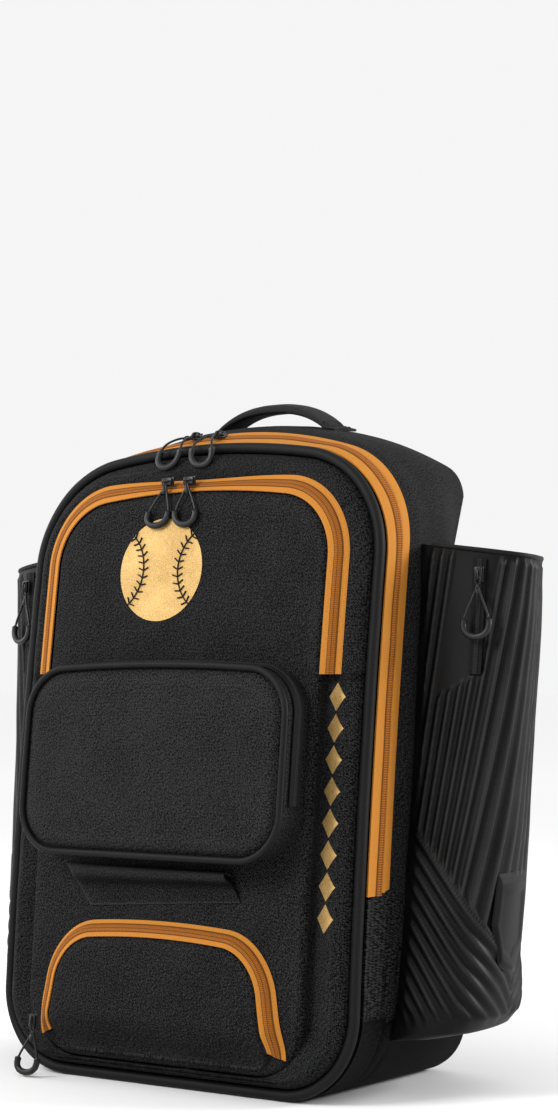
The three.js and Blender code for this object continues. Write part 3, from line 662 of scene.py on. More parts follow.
@dataclass(frozen=True)
class BagForm:
    """The shape of the whole bag, which every piece is laid on."""

    width: float = 366.0
    front_height: float = 529.0
    back_height: float = 551.0
    front_reach: float = 97.0
    front_lean: float = 56.0
    back_reach: float = 114.0
    back_taper: float = 24.0
    waist: float = 14.0
    base_corner: float = 70.0
    top_corner: float = 95.0
    back_edge: float = 20.0
    piping: float = 4.5
    gap: float = 0.5
    zip_width: float = 30.0
    zip_end: float = 162.0
    sleeve_rim: float = 440.0
    sleeve_bottom: float = 47.0
    sleeve_front: float = 5.0
    sleeve_sweep: float = 40.0
    sleeve_back: float = 98.0

    def front_y(self, z: float) -> float:
        """Depth of the front at a height."""
        rise = z / self.front_height
        return -self.front_reach + self.front_lean * (rise + rise * rise) / 2

    def ahead(self, x: float, z: float, distance: float) -> Vector:
        """A point in front of the front line."""
        return Vector((x, self.front_y(z) - distance, z))

    @property
    def zip_back(self) -> float:
        """How far behind the front line the main zip ends."""
        return self.piping + self.gap + self.zip_width

    def sleeve_front_y(self, z: float) -> float:
        """Depth of a sleeve's front seam at a height."""
        share = clamp((z - self.sleeve_bottom) / (self.sleeve_rim - self.sleeve_bottom))
        swept = -self.sleeve_front - self.sleeve_sweep * (1 - share) ** 1.6
        return max(swept, self.front_y(z) + self.zip_back + 12)

    def rim_y(self, z: float) -> float:
        """Depth of the shell's front edge at a height."""
        behind_zip = ease((z - self.zip_end + 2) / 2)
        return self.front_y(z) + self.piping + self.gap + behind_zip * self.zip_width

    def middle_y(self, z: float) -> float:
        """Depth of the middle of the sides."""
        return (self.sleeve_front_y(z) + self.sleeve_back) / 2

    @lru_cache(maxsize=None)
    def section(self, name: str) -> Arch:
        """Gives the outline of the body at one of its depths."""
        rows = {
            "front": (0.0, 8.0, 1.0, 0.0, 0.0),
            "zip": (0.55, 17.0, 0.95, 0.0, 0.0),
            "seam": (0.65, 19.0, 0.93, 0.0, 0.0),
            "middle": (0.9, 28.0, 0.66, 0.5, 0.5),
            "back": (1.0, 38.0, 0.32, 1.0, 1.0),
        }
        rise, crown, corner, taper, waist = rows[name]
        return Arch(
            half=self.width / 2 - self.back_taper * taper,
            top=self.front_height + (self.back_height - self.front_height) * rise,
            bottom=0.0,
            crown=crown,
            top_corner=self.top_corner * corner,
            bottom_corner=self.base_corner - self.back_taper * taper,
            waist=self.waist * waist,
        )

    def wall_point(self, share: float, depth: float) -> Vector:
        """Gives a point of the body's wall.

        Args:
            share: Share of the way round it.
            depth: Share of the way from its front edge (0) to its back seam (1).

        Returns:
            The point.
        """
        stations = []
        for name, place in (
            ("zip", self.rim_y),
            ("seam", self.sleeve_front_y),
            ("middle", self.middle_y),
            ("back", lambda z: self.sleeve_back),
        ):
            x, z = self.section(name).point(share)
            stations.append(Vector((x, place(z), z)))
        marks = (0.0, 0.28, 0.64, 1.0)
        rows = [(mark, *station) for mark, station in zip(marks, stations)]
        straight = [Vector(along([rows[k], rows[k + 1]], depth)) for k in range(3)]
        piece = straight[min(sum(depth >= m for m in marks[1:]), 2)]
        curved = Vector(along(rows, depth))
        return piece.lerp(curved, 0.5)

    def side_x(self, depth: float, z: float) -> float:
        """Half the body's width beside a sleeve, from its front seam (0) to its back seam (1)."""
        names = ("seam", "middle", "back")
        first = 0 if depth < 0.5 else 1
        a, b = (self.section(names[first + k]).width_at(z) for k in (0, 1))
        return mix(a, b, 2 * depth - first)

    def top_z(self, x: float, y: float) -> float:
        """Height of the body's top behind the main zip."""
        lines = []
        for name, place in (("seam", self.sleeve_front_y), ("middle", self.middle_y)):
            arch = self.section(name)
            lines.append((place(arch.top), arch))
        lines.append((self.sleeve_back, self.section("back")))
        k = 0 if y < lines[1][0] else 1
        heights = []
        for _, arch in lines[k : k + 2]:
            corners = arch._corners(0.0)
            heights.append(arch.top - arch.crown * (x / corners[5]) ** 2)
        share = (y - lines[k][0]) / (lines[k + 1][0] - lines[k][0])
        return mix(heights[0], heights[1], share)


FORM = BagForm()
FRONT = FORM.section("front")
TALL = Arch(half=141.0, top=487.0, bottom=19.0, crown=6.0, top_corner=54.0, bottom_corner=48.0)
BROW = Arch(half=134.0, top=344.0, bottom=188.0, crown=3.0, top_corner=39.0, bottom_corner=39.0)
LOW = Arch(half=100.0, top=122.0, bottom=24.0, crown=3.0, top_corner=36.0, bottom_corner=26.0, flare=17.0)
TALL_FLOOR, TALL_FACE = 6.0, 20.0  # ahead of the front line
BROW_DEPTH, LOW_DEPTH = 33.0, 11.0
PANEL_RISE = 11.0


# Making meshes


def marks(points: Sequence[Vector]) -> list[float]:
    """Gives the length of a line up to each of its points."""
    lengths = [0.0]
    for a, b in zip(points, points[1:]):
        lengths.append(lengths[-1] + (b - a).length)
    return lengths


def lay_grid(
    bm: bmesh.types.BMesh,
    columns: int,
    rows: int,
    place: Place,
    width: float | None = None,
    flat: bool = False,
    tone: Callable[[float, float], float] | None = None,
) -> list[bmesh.types.BMVert]:
    """Adds a grid whose points lie where a function puts them.

    Args:
        bm: The mesh.
        columns, rows: Cells across and up.
        place: Gives a point for the shares across and up, in millimetres.
        width: The grid's size up the UV map in millimetres, if it isn't measured.
        flat: Whether the UV map is the view from the front.
        tone: Gives how dark (0) or light (1) the finish is at the shares across and up.

    Returns:
        Its vertices.
    """
    uv = bm.loops.layers.uv.verify()
    tones = bm.verts.layers.float.get(TONE) or bm.verts.layers.float.new(TONE)
    verts = bmesh.ops.create_grid(bm, x_segments=columns, y_segments=rows, size=0.5)["verts"]
    shares = {vert: (vert.co.x + 0.5, vert.co.y + 0.5) for vert in verts}
    across = marks([place(k / columns, 0.5) for k in range(columns + 1)])
    up = marks([place(0.5, k / rows) for k in range(rows + 1)])
    for vert, (a, b) in shares.items():
        vert.co = place(a, b) * MM
        vert[tones] = tone(a, b) if tone else 0.5
    for face in {face for vert in verts for face in vert.link_faces}:
        for loop in face.loops:
            a, b = shares[loop.vert]
            if flat:
                loop[uv].uv = (loop.vert.co.x, loop.vert.co.z)
            else:
                v = b * width if width else up[round(b * rows)]
                loop[uv].uv = (across[round(a * columns)] * MM, v * MM)
    return verts


def lay_tube(
    bm: bmesh.types.BMesh,
    path: Callable[[float], Vector],
    radius: Callable[[float], float],
    steps: int,
    sides: int = 10,
    closed: bool = False,
    up: Vector = Vector((0, 1, 0)),
) -> None:
    """Adds a tube along a line.

    Args:
        bm: The mesh.
        path: Gives the line's point for a share of its length.
        radius: Gives the tube's radius there.
        steps, sides: Cells along it and round it.
        closed: Whether the line joins its own start.
        up: A direction that the line never runs along.
    """
    step = 1 / steps

    def place(a: float, b: float) -> Vector:
        """Gives a point of the tube's skin."""
        before, after = a - step / 2, a + step / 2
        if not closed:
            before, after = clamp(before), clamp(after)
        run = (path(after) - path(before)).normalized()
        side = run.cross(up).normalized()
        lift = side.cross(run).normalized()
        angle = 2 * math.pi * b
        return path(a) + (side * math.cos(angle) + lift * math.sin(angle)) * radius(a)

    verts = lay_grid(bm, steps, sides, place)
    bmesh.ops.remove_doubles(bm, verts=verts, dist=1e-6)
    if not closed:
        edges = [e for v in verts if v.is_valid for e in v.link_edges if e.is_boundary]
        bmesh.ops.holes_fill(bm, edges=list(set(edges)), sides=0)


def lay_block(bm: bmesh.types.BMesh, size: Vector, edge: float, put: Callable[[Vector], Vector]) -> None:
    """Adds a block with rounded edges.

    Args:
        bm: The mesh.
        size: Its lengths along its own directions.
        edge: The radius of its edges.
        put: Gives the place in the bag for a point of the block.
    """
    before = set(bm.verts)
    verts = bmesh.ops.create_cube(bm, size=1.0)["verts"]
    bmesh.ops.scale(bm, vec=size, verts=verts)
    edges = list({e for v in verts for e in v.link_edges})
    bmesh.ops.bevel(bm, geom=edges, offset=edge, segments=3, profile=0.5, affect="EDGES", material=-1)
    for vert in set(bm.verts) - before:
        vert.co = put(vert.co) * MM


def close_up(bm: bmesh.types.BMesh) -> None:
    """Sews a mesh's seams and fills its open ends."""
    bmesh.ops.remove_doubles(bm, verts=bm.verts[:], dist=WELD)
    bmesh.ops.holes_fill(bm, edges=[e for e in bm.edges if e.is_boundary], sides=0)


@dataclass
class Piece:
    """A finished piece of the scene, and the frame parts that it hides."""

    name: str
    slot: Slot
    finishes: Sequence[object]
    nodes: Sequence[str] = ()
    wall: float = 0.0
    smooth_angle: float = 50.0
    fill: float | None = None
    weld: float = 0.02

    def make(self, bm: bmesh.types.BMesh) -> None:
        """Closes a mesh, makes it an object and lets it ride on the bag.

        Args:
            bm: The mesh, which is used up.
        """
        bmesh.ops.remove_doubles(bm, verts=bm.verts[:], dist=self.weld * MM)
        bmesh.ops.recalc_face_normals(bm, faces=bm.faces[:])
        if self.wall:
            bmesh.ops.solidify(bm, geom=bm.faces[:], thickness=self.wall * MM)
            bmesh.ops.recalc_face_normals(bm, faces=bm.faces[:])
        mesh = bpy.data.meshes.new(self.name)
        bm.to_mesh(mesh)
        bm.free()
        mesh.polygons.foreach_set("use_smooth", [True] * len(mesh.polygons))
        mesh.set_sharp_from_angle(angle=math.radians(self.smooth_angle))
        for finish in self.finishes:
            mesh.materials.append(finish_of(finish))
        thing = bpy.data.objects.new(self.name, mesh)
        bpy.context.scene.collection.objects.link(thing)
        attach(thing, "root")
        if self.nodes:
            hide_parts(*self.nodes)
        LOG.info("%s: %d faces", self.name, len(mesh.polygons))


# The body


@dataclass
class Shell:
    """The tub of the main compartment: its sides, base, top and back."""

    form: BagForm = FORM
    around: int = 340
    deep: int = 46
    wall: float = 2.4
    boot_height: float = 68.0
    seam_groove: float = 1.3

    def boot_line(self, y: float) -> float:
        """Height of the seam above the smooth base cloth, at a depth."""
        return self.boot_height - 8.0 * ease((y + 90) / 70)

    def wall_place(self, a: float, b: float) -> Vector:
        """Gives a point of the side, base or top."""
        depth = b**1.15
        point = self.form.wall_point(a, depth)
        x, z = self.form.section("middle").outward(a)
        out = Vector((x, 0, z))
        groove = self.seam_groove * self.seams(point) * abs(x)
        soft = math.sin(math.pi * clamp(depth, 0, 1)) * ease((point.z - 12) / 40)
        puff = 2.6 * ease((point.z - 300) / 180) * soft
        folds = 1.3 * wander(*point, 62.0, 3.0) + 0.5 * wander(*point, 24.0, 9.0)
        return point + out * (puff + folds * soft - groove)

    def seams(self, point: Vector) -> float:
        """Depth share of the sewn seams at a point of the side."""
        base = dip(point.z - self.boot_line(point.y), 1.5)
        beside = point.y - self.form.front_y(point.z) - self.form.zip_back
        below_zip = ease((self.form.zip_end - point.z) / 4)
        return base + max(dip(beside, 1.4), dip(beside - 15, 1.2)) * below_zip

    def wall_tone(self, a: float, b: float) -> float:
        """Gives the wall's tone, which is darker in its seams."""
        return 0.5 - 0.45 * self.seams(self.form.wall_point(a, b**1.15))

    def back_place(self, a: float, b: float) -> Vector:
        """Gives a point of the rounded back edge or the back."""
        ring, share = perimeter(a, b)
        arch = self.form.section("back")
        edge = self.form.back_edge
        reach = self.form.back_reach - self.form.sleeve_back
        rim = 0.86
        if ring >= rim:
            angle = (1 - ring) / (1 - rim) * math.pi / 2
            inset = edge * (1 - math.cos(angle))
            x, z = arch.point(share, inset)
            return Vector((x, self.form.sleeve_back + reach * math.sin(angle), z))
        x, z = arch.point(share, edge)
        middle = arch.top / 2
        core = ring / rim
        x, z = x * core, mix(middle, z, core)
        sag = -0.8 * (0.5 + 0.5 * wander(x, 0.0, z, 70.0, 5.0)) * (1 - core**4)
        return Vector((x, self.form.back_reach + sag, z))

    def build(self) -> None:
        """Makes the shell and its smooth base cloth."""
        bm = bmesh.new()
        lay_grid(bm, self.around, self.deep, self.wall_place, tone=self.wall_tone)
        lay_grid(bm, self.around // 4, self.around // 4, self.back_place, flat=True)
        for face in bm.faces:
            middle = face.calc_center_median() / MM
            if middle.z < self.boot_line(middle.y) and abs(face.normal.y) < 0.8:
                face.material_index = 1
        Piece("shell", Slot.CLOTH, (CLOTH, BOOT), ("main_shell",), wall=self.wall, weld=0.2).make(bm)


@dataclass
class FrontPanel:
    """The padded border round the tall pocket, and the piping at its edge."""

    form: BagForm = FORM
    around: int = 420
    across: int = 26
    wall: float = 2.0
    edge: float = 10.0
    slope: float = 16.0
    lip: float = 13.2

    def profile(self, share: float) -> tuple[float, float]:
        """Gives the share from the pocket's outline to the padded edge, and the height there."""
        stations = (
            (0.0, -0.06, TALL_FLOOR + 0.5),
            (0.1, 0.0, self.lip - 6.6),
            (0.2, 0.14, self.lip - 6.0),
            (0.42, 0.5, self.lip - 2.6),
            (0.6, 0.8, self.lip - 0.6),
            (0.74, 1.0, PANEL_RISE - 1.2),
            (0.86, 1.12, PANEL_RISE * 0.6),
            (0.95, 1.21, 1.6),
            (1.0, 1.22, -1.4),
        )
        reach, height = along(stations, share)
        return reach, height

    def place(self, a: float, b: float) -> Vector:
        """Gives a point of the border."""
        reach, _ = self.profile(b)
        px, pz = TALL.point(a, -1.0)
        fx, fz = FRONT.point(a, self.slope)
        x, z = mix(px, fx, clamp(reach, -1, 1)), mix(pz, fz, clamp(reach, -1, 1))
        if reach > 1:
            inset = self.slope - (reach - 1) / 0.22 * (self.slope - self.edge)
            x, z = FRONT.point(a, inset)
        return self.form.ahead(x, z, self.height(b, x, z))

    def height(self, share: float, x: float, z: float) -> float:
        """Height of the border in front of the front line.

        Args:
            share: Share of the way from the tall pocket to the piping.
            x, z: Where on the border.

        Returns:
            The height.
        """
        reach, height = self.profile(share)
        if reach <= 1:
            height = max(height, mix(height, self.lip - 2.2, ease((70.0 - z) / 40.0)))
        soft = ease((share - 0.2) / 0.25) * ease((0.95 - share) / 0.25)
        folds = 0.9 * wander(x, 0, z, 38.0, 1.0) + 0.5 * wander(x, 0, z, 14.0, 2.0)
        return height + soft * (folds - 0.9 * self.seams(x, z))

    def seams(self, x: float, z: float) -> float:
        """Depth share of the sewn joints across the border."""
        side = abs(x)
        slant = (z - 470.0) - 0.75 * (side - 148.0)
        joints = dip(slant, 1.4) * (z > 430) + dip(z - 333.0, 1.4)
        return joints * ease((side - 120) / 8)

    def tone(self, a: float, b: float) -> float:
        """Gives the border's tone, which is darker in its seams."""
        point = self.place(a, b)
        return 0.5 - 0.45 * self.seams(point.x, point.z)

    def build(self) -> None:
        """Makes the border and its piping."""
        bm = bmesh.new()
        lay_grid(bm, self.around, self.across, self.place, flat=True, tone=self.tone)
        Piece("front_border", Slot.CLOTH, (CLOTH,), ("front_panel",), wall=self.wall, weld=0.05).make(bm)
        bm = bmesh.new()
        centre = self.form.piping + self.form.gap

        def line(share: float) -> Vector:
            """Gives the middle of the piping."""
            x, z = FRONT.point(share, centre)
            return self.form.ahead(x, z, 0.35 * wander(x, 0, z, 30.0, 4.0))

        lay_tube(bm, line, lambda share: self.form.piping, 420, 12, closed=True)
        Piece("edge_piping", Slot.CLOTH, (PIPING,), ("front_piping",)).make(bm)


@dataclass
class Pocket:
    """A pocket on the front: a soft face with a rounded edge, and a side wall."""

    name: str
    node: str
    arch: Arch
    floor: Callable[[float], float]
    face: float
    edge: float
    bulge: float
    cells: int = 84
    rows: int = 8
    wall: float = 2.0
    fold: float = 0.7
    seed: float = 0.0
    sink: float = 0.0
    sink_reach: float = 40.0
    form: BagForm = FORM
    rim: float = 0.88
    # shade: added to the whole face's tone; above 0 it is painted light, below 0 painted shade, for how
    # light falls on the pocket
    shade: float = 0.0

    def level(self, z: float) -> float:
        """How far the edge of the face stands ahead at a height; it is sewn flatter at its foot."""
        return self.face - self.sink * ease((self.arch.bottom + self.sink_reach - z) / self.sink_reach)

    def rounding(self, z: float) -> float:
        """Depth of the rounded edge at a height."""
        return min(self.edge, 0.6 * (self.level(z) - self.floor(z)))

    def height(self, x: float, z: float, core: float) -> float:
        """Height of the face in front of the front line.

        Args:
            x, z: Where on the face.
            core: Share of the way from its middle to its edge.

        Returns:
            The height.
        """
        puffed = self.bulge * (1 - core**3)
        folds = wander(x, 0, z, 55.0, self.seed) + 0.4 * wander(x, 0, z, 19.0, self.seed + 3)
        return self.level(z) + puffed + self.fold * folds * ease((1 - core) / 0.15)

    def face_place(self, a: float, b: float) -> Vector:
        """Gives a point of the face."""
        ring, share = perimeter(a, b)
        if ring >= self.rim:
            angle = (1 - ring) / (1 - self.rim) * math.pi / 2
            x, z = self.arch.point(share, self.edge * (1 - math.cos(angle)))
            return self.form.ahead(x, z, self.level(z) - self.rounding(z) * (1 - math.sin(angle)))
        x, z = self.arch.point(share, self.edge)
        core = ring / self.rim
        middle = (self.arch.top + self.arch.bottom) / 2
        x, z = x * core, mix(middle, z, core)
        return self.form.ahead(x, z, self.height(x, z, core))

    def tone(self, a: float, b: float) -> float:
        """Gives the face's tone: a little lighter on its rounded edge, plus shade all over, which is
        painted light where positive and painted shade where negative.
        """
        ring, _ = perimeter(a, b)
        return 0.5 + self.shade + 0.12 * dip(ring - self.rim, 0.03)

    def wall_place(self, a: float, b: float) -> Vector:
        """Gives a point of the side wall."""
        x, z = self.arch.point(a, 0.5 * math.sin(math.pi * b))
        return self.form.ahead(x, z, mix(self.floor(z) + 0.6, self.level(z) - self.rounding(z), b))

    def build(self) -> None:
        """Makes the pocket."""
        bm = bmesh.new()
        lay_grid(bm, self.cells, self.cells, self.face_place, flat=True, tone=self.tone)
        lay_grid(bm, 4 * self.cells, self.rows, self.wall_place)
        Piece(self.name, Slot.CLOTH, (CLOTH,), (self.node,), wall=self.wall, weld=0.05).make(bm)


@dataclass
class TallPocket(Pocket):
    """The tall pocket that carries the others."""

    def height(self, x: float, z: float, core: float) -> float:
        """Height of the face, which the sewn band pulls in a little."""
        pull = 1.2 * dip(z - 150, 22) * ease((110 - abs(x)) / 30)
        lean = 0.7 * dip(z - 176, 8) * ease((120 - abs(x)) / 20)
        return super().height(x, z, core) - pull * 0.5 - lean * 0.4


@dataclass
class BrowPocket(Pocket):
    """The raised box pocket, whose face swells out of a fat rolled edge."""

    roll: float = 2.8
    roll_reach: float = 15.0
    notch: float = 7.2

    def face_place(self, a: float, b: float) -> Vector:
        """Gives a point of the face, which dips behind its rolled edge before it swells."""
        ring, share = perimeter(a, b)
        middle = (self.arch.top + self.arch.bottom) / 2
        stations = (
            (0.0, 0.0, -self.notch),
            (0.3, 4.0, -6.6),
            (0.55, 6.6, -2.9),
            (0.8, 10.5, -0.9),
            (1.0, self.roll_reach, -0.1),
        )
        if ring >= self.rim:
            inset, height = along(stations, (1 - ring) / (1 - self.rim))
            x, z = self.arch.point(share, inset)
            return self.form.ahead(x, z, self.face + height)
        x, z = self.arch.point(share, self.roll_reach)
        core = ring / self.rim
        x, z = x * core, mix(middle, z, core)
        return self.form.ahead(x, z, self.height(x, z, core) - 0.1)

    def wall_place(self, a: float, b: float) -> Vector:
        """Gives a point of the side wall, up to the notch of the rolled edge."""
        x, z = self.arch.point(a, 0.6 * math.sin(math.pi * b))
        return self.form.ahead(x, z, mix(self.floor(z) + 0.6, self.face - self.notch, b))

    def piping(self) -> None:
        """Makes the rolled edge."""
        bm = bmesh.new()

        def line(share: float) -> Vector:
            """Gives the middle of the roll."""
            x, z = self.arch.point(share, 1.1)
            return self.form.ahead(x, z, self.face - 3.6 + 0.3 * wander(x, 0, z, 24.0, 8.0))

        lay_tube(bm, line, lambda share: self.roll, 300, 12, closed=True)
        Piece("box_pocket_piping", Slot.TAPE, (PIPING,), ("brow_pocket_piping",)).make(bm)


@dataclass
class FrontZip:
    """A zip tape that slopes down from a pocket's edge to the cloth round it."""

    name: str
    node: str
    arch: Arch
    end: float
    width: float
    high: Callable[[float], float]
    low: Callable[[float], float]
    columns: int = 260
    rows: int = 14
    wall: float = 1.2
    coil_at: float = 0.52
    pinch: float = 0.4
    pinch_reach: float = 0.3
    form: BagForm = FORM

    def place(self, a: float, b: float) -> Vector:
        """Gives a point of the tape."""
        start = self.arch.share_at(self.end)
        share = mix(start, 1 - start, a)
        narrow = 1 - self.pinch * ease(1 - abs(a - 0.5) / self.pinch_reach)
        x, z = self.arch.point(share, -mix(self.form.gap, self.width * narrow, b))
        beside = (b - self.coil_at) * self.width
        ridge = 0.9 * dip(beside, 3.2)
        crease = 0.7 * (dip(beside - 4.4, 0.8) + dip(beside + 4.4, 0.8))
        slope = mix(self.high(z), self.low(z), b) + 0.9 * math.sin(math.pi * b)
        return self.form.ahead(x, z, slope + ridge - crease)

    def build(self) -> None:
        """Makes the tape."""
        bm = bmesh.new()
        lay_grid(bm, self.columns, self.rows, self.place, width=self.width)
        coil_width = min(5.6, self.width * 0.4)
        finish = ZipFinish(
            self.name + "_orange", self.width, *ORANGE, coil_at=self.coil_at, coil_width=coil_width
        )
        Piece(self.name, Slot.ZIP, (finish,), (self.node,), wall=self.wall, weld=0.02).make(bm)


@dataclass
class MainZip:
    """The wide zip gusset over the top of the main compartment."""

    form: BagForm = FORM
    columns: int = 420
    rows: int = 20
    sunk: float = 0.3
    wall: float = 1.4
    coil_at: float = 0.5

    def place(self, a: float, b: float) -> Vector:
        """Gives a point of the tape."""
        back = self.form.section("zip")
        starts = (FRONT.share_at(self.form.zip_end), back.share_at(self.form.zip_end))
        share, far_share = (mix(start, 1 - start, a) for start in starts)
        x0, z0 = FRONT.point(share, self.sunk)
        x1, z1 = back.point(far_share, self.sunk)
        front = Vector((x0, self.form.front_y(z0) + self.form.piping + self.form.gap, z0))
        rear = Vector((x1, self.form.front_y(z1) + self.form.zip_back, z1))
        nx, nz = FRONT.outward(share)
        beside = (b - self.coil_at) * self.form.zip_width
        ridge = 1.3 * dip(beside, 3.4)
        crease = 0.8 * (dip(beside - 4.8, 0.9) + dip(beside + 4.8, 0.9))
        soft = 0.5 * wander(x0, 0, z0, 34.0, 6.0) * math.sin(math.pi * b)
        bow = 0.8 * math.sin(math.pi * b)
        return front.lerp(rear, b) + Vector((nx, 0, nz)) * (ridge - crease + soft + bow)

    def build(self) -> None:
        """Makes the tape."""
        bm = bmesh.new()
        width = self.form.zip_width
        lay_grid(bm, self.columns, self.rows, self.place, width=width)
        finish = ZipFinish(
            "main_zip_orange", width, *ORANGE, coil_at=self.coil_at, coil_width=7.0, pitch=1.9
        )
        Piece("main_zip_gusset", Slot.ZIP, (finish,), ("main_zip",), wall=self.wall).make(bm)


@dataclass
class BoxPocketZip:
    """The black zip round the wall of the raised pocket."""

    form: BagForm = FORM
    end: float = 232.0
    width: float = 13.0
    depth_share: float = 0.42

    def build(self) -> None:
        """Makes the tape."""
        centre = TALL_FACE + BROW_DEPTH * self.depth_share
        start = BROW.share_at(self.end)

        def place(a: float, b: float) -> Vector:
            """Gives a point of the tape."""
            beside = (b - 0.5) * self.width
            out = self.form.gap + 1.1 + 0.9 * dip(beside, 2.4) - 0.4 * dip(abs(beside) - 3.6, 0.7)
            x, z = BROW.point(mix(start, 1 - start, a), -out)
            return self.form.ahead(x, z, centre + beside)

        bm = bmesh.new()
        lay_grid(bm, 220, 12, place, width=self.width)
        finish = ZipFinish("box_pocket_zip_black", self.width, *BLACK_ZIP, coil_width=4.2)
        Piece("box_pocket_zip", Slot.TAPE, (finish,), ("brow_pocket_zip",), wall=1.0).make(bm)


@dataclass
class FrontBand:
    """The sewn tunnel of cloth under the raised pocket."""

    form: BagForm = FORM
    top: float = 178.0
    height: float = 34.0
    left: float = 99.0
    right: float = 70.0
    slant: float = 24.0
    bulge: float = 11.5
    wall: float = 1.8

    def place(self, a: float, b: float) -> Vector:
        """Gives a point of the band, from its rolled top edge to its sewn lower edge."""
        stations = (
            (0.0, 0.14, 0.08),
            (0.08, 0.05, 0.4),
            (0.17, 0.0, 0.82),
            (0.28, 0.08, 1.1),
            (0.4, 0.26, 1.08),
            (0.52, 0.38, 0.72),
            (0.64, 0.5, 0.42),
            (0.84, 0.82, 0.16),
            (1.0, 1.0, 0.05),
        )
        down, out = along(stations, b)
        z = self.top - self.height * down * mix(1, 0.7, a)
        left = -self.left + self.slant * down
        right = self.right + 0.4 * self.slant * down
        bow = 0.45 + 0.55 * math.sqrt(a)
        x = mix(left, right, a)
        folds = 0.5 * wander(x, b * 30, z, 16.0, 12.0) * math.sin(math.pi * clamp(b))
        return self.form.ahead(x, z, TALL_FACE + 1.6 + self.bulge * out * bow + folds)

    def tone(self, a: float, b: float) -> float:
        """Gives the band's tone: darker all over, partly its own cloth and partly painted shade under the
        raised pocket, with a painted highlight on the roll, painted shade in the hollow below it and
        painted highlights along its sewn lower and left edges.
        """
        # edge: painted highlights along the sewn lower and left edges
        edge = dip((1 - b) * 40, 1.6) + dip(a * 170, 2.2)
        return 0.36 + 0.8 * dip(b - 0.27, 0.1) - 0.45 * dip(b - 0.56, 0.12) + 0.9 * edge

    def build(self) -> None:
        """Makes the band."""
        bm = bmesh.new()
        lay_grid(bm, 90, 40, self.place, tone=self.tone)
        Piece("front_tunnel", Slot.CLOTH, (CLOTH,), ("front_band",), wall=self.wall).make(bm)


# Bat sleeves


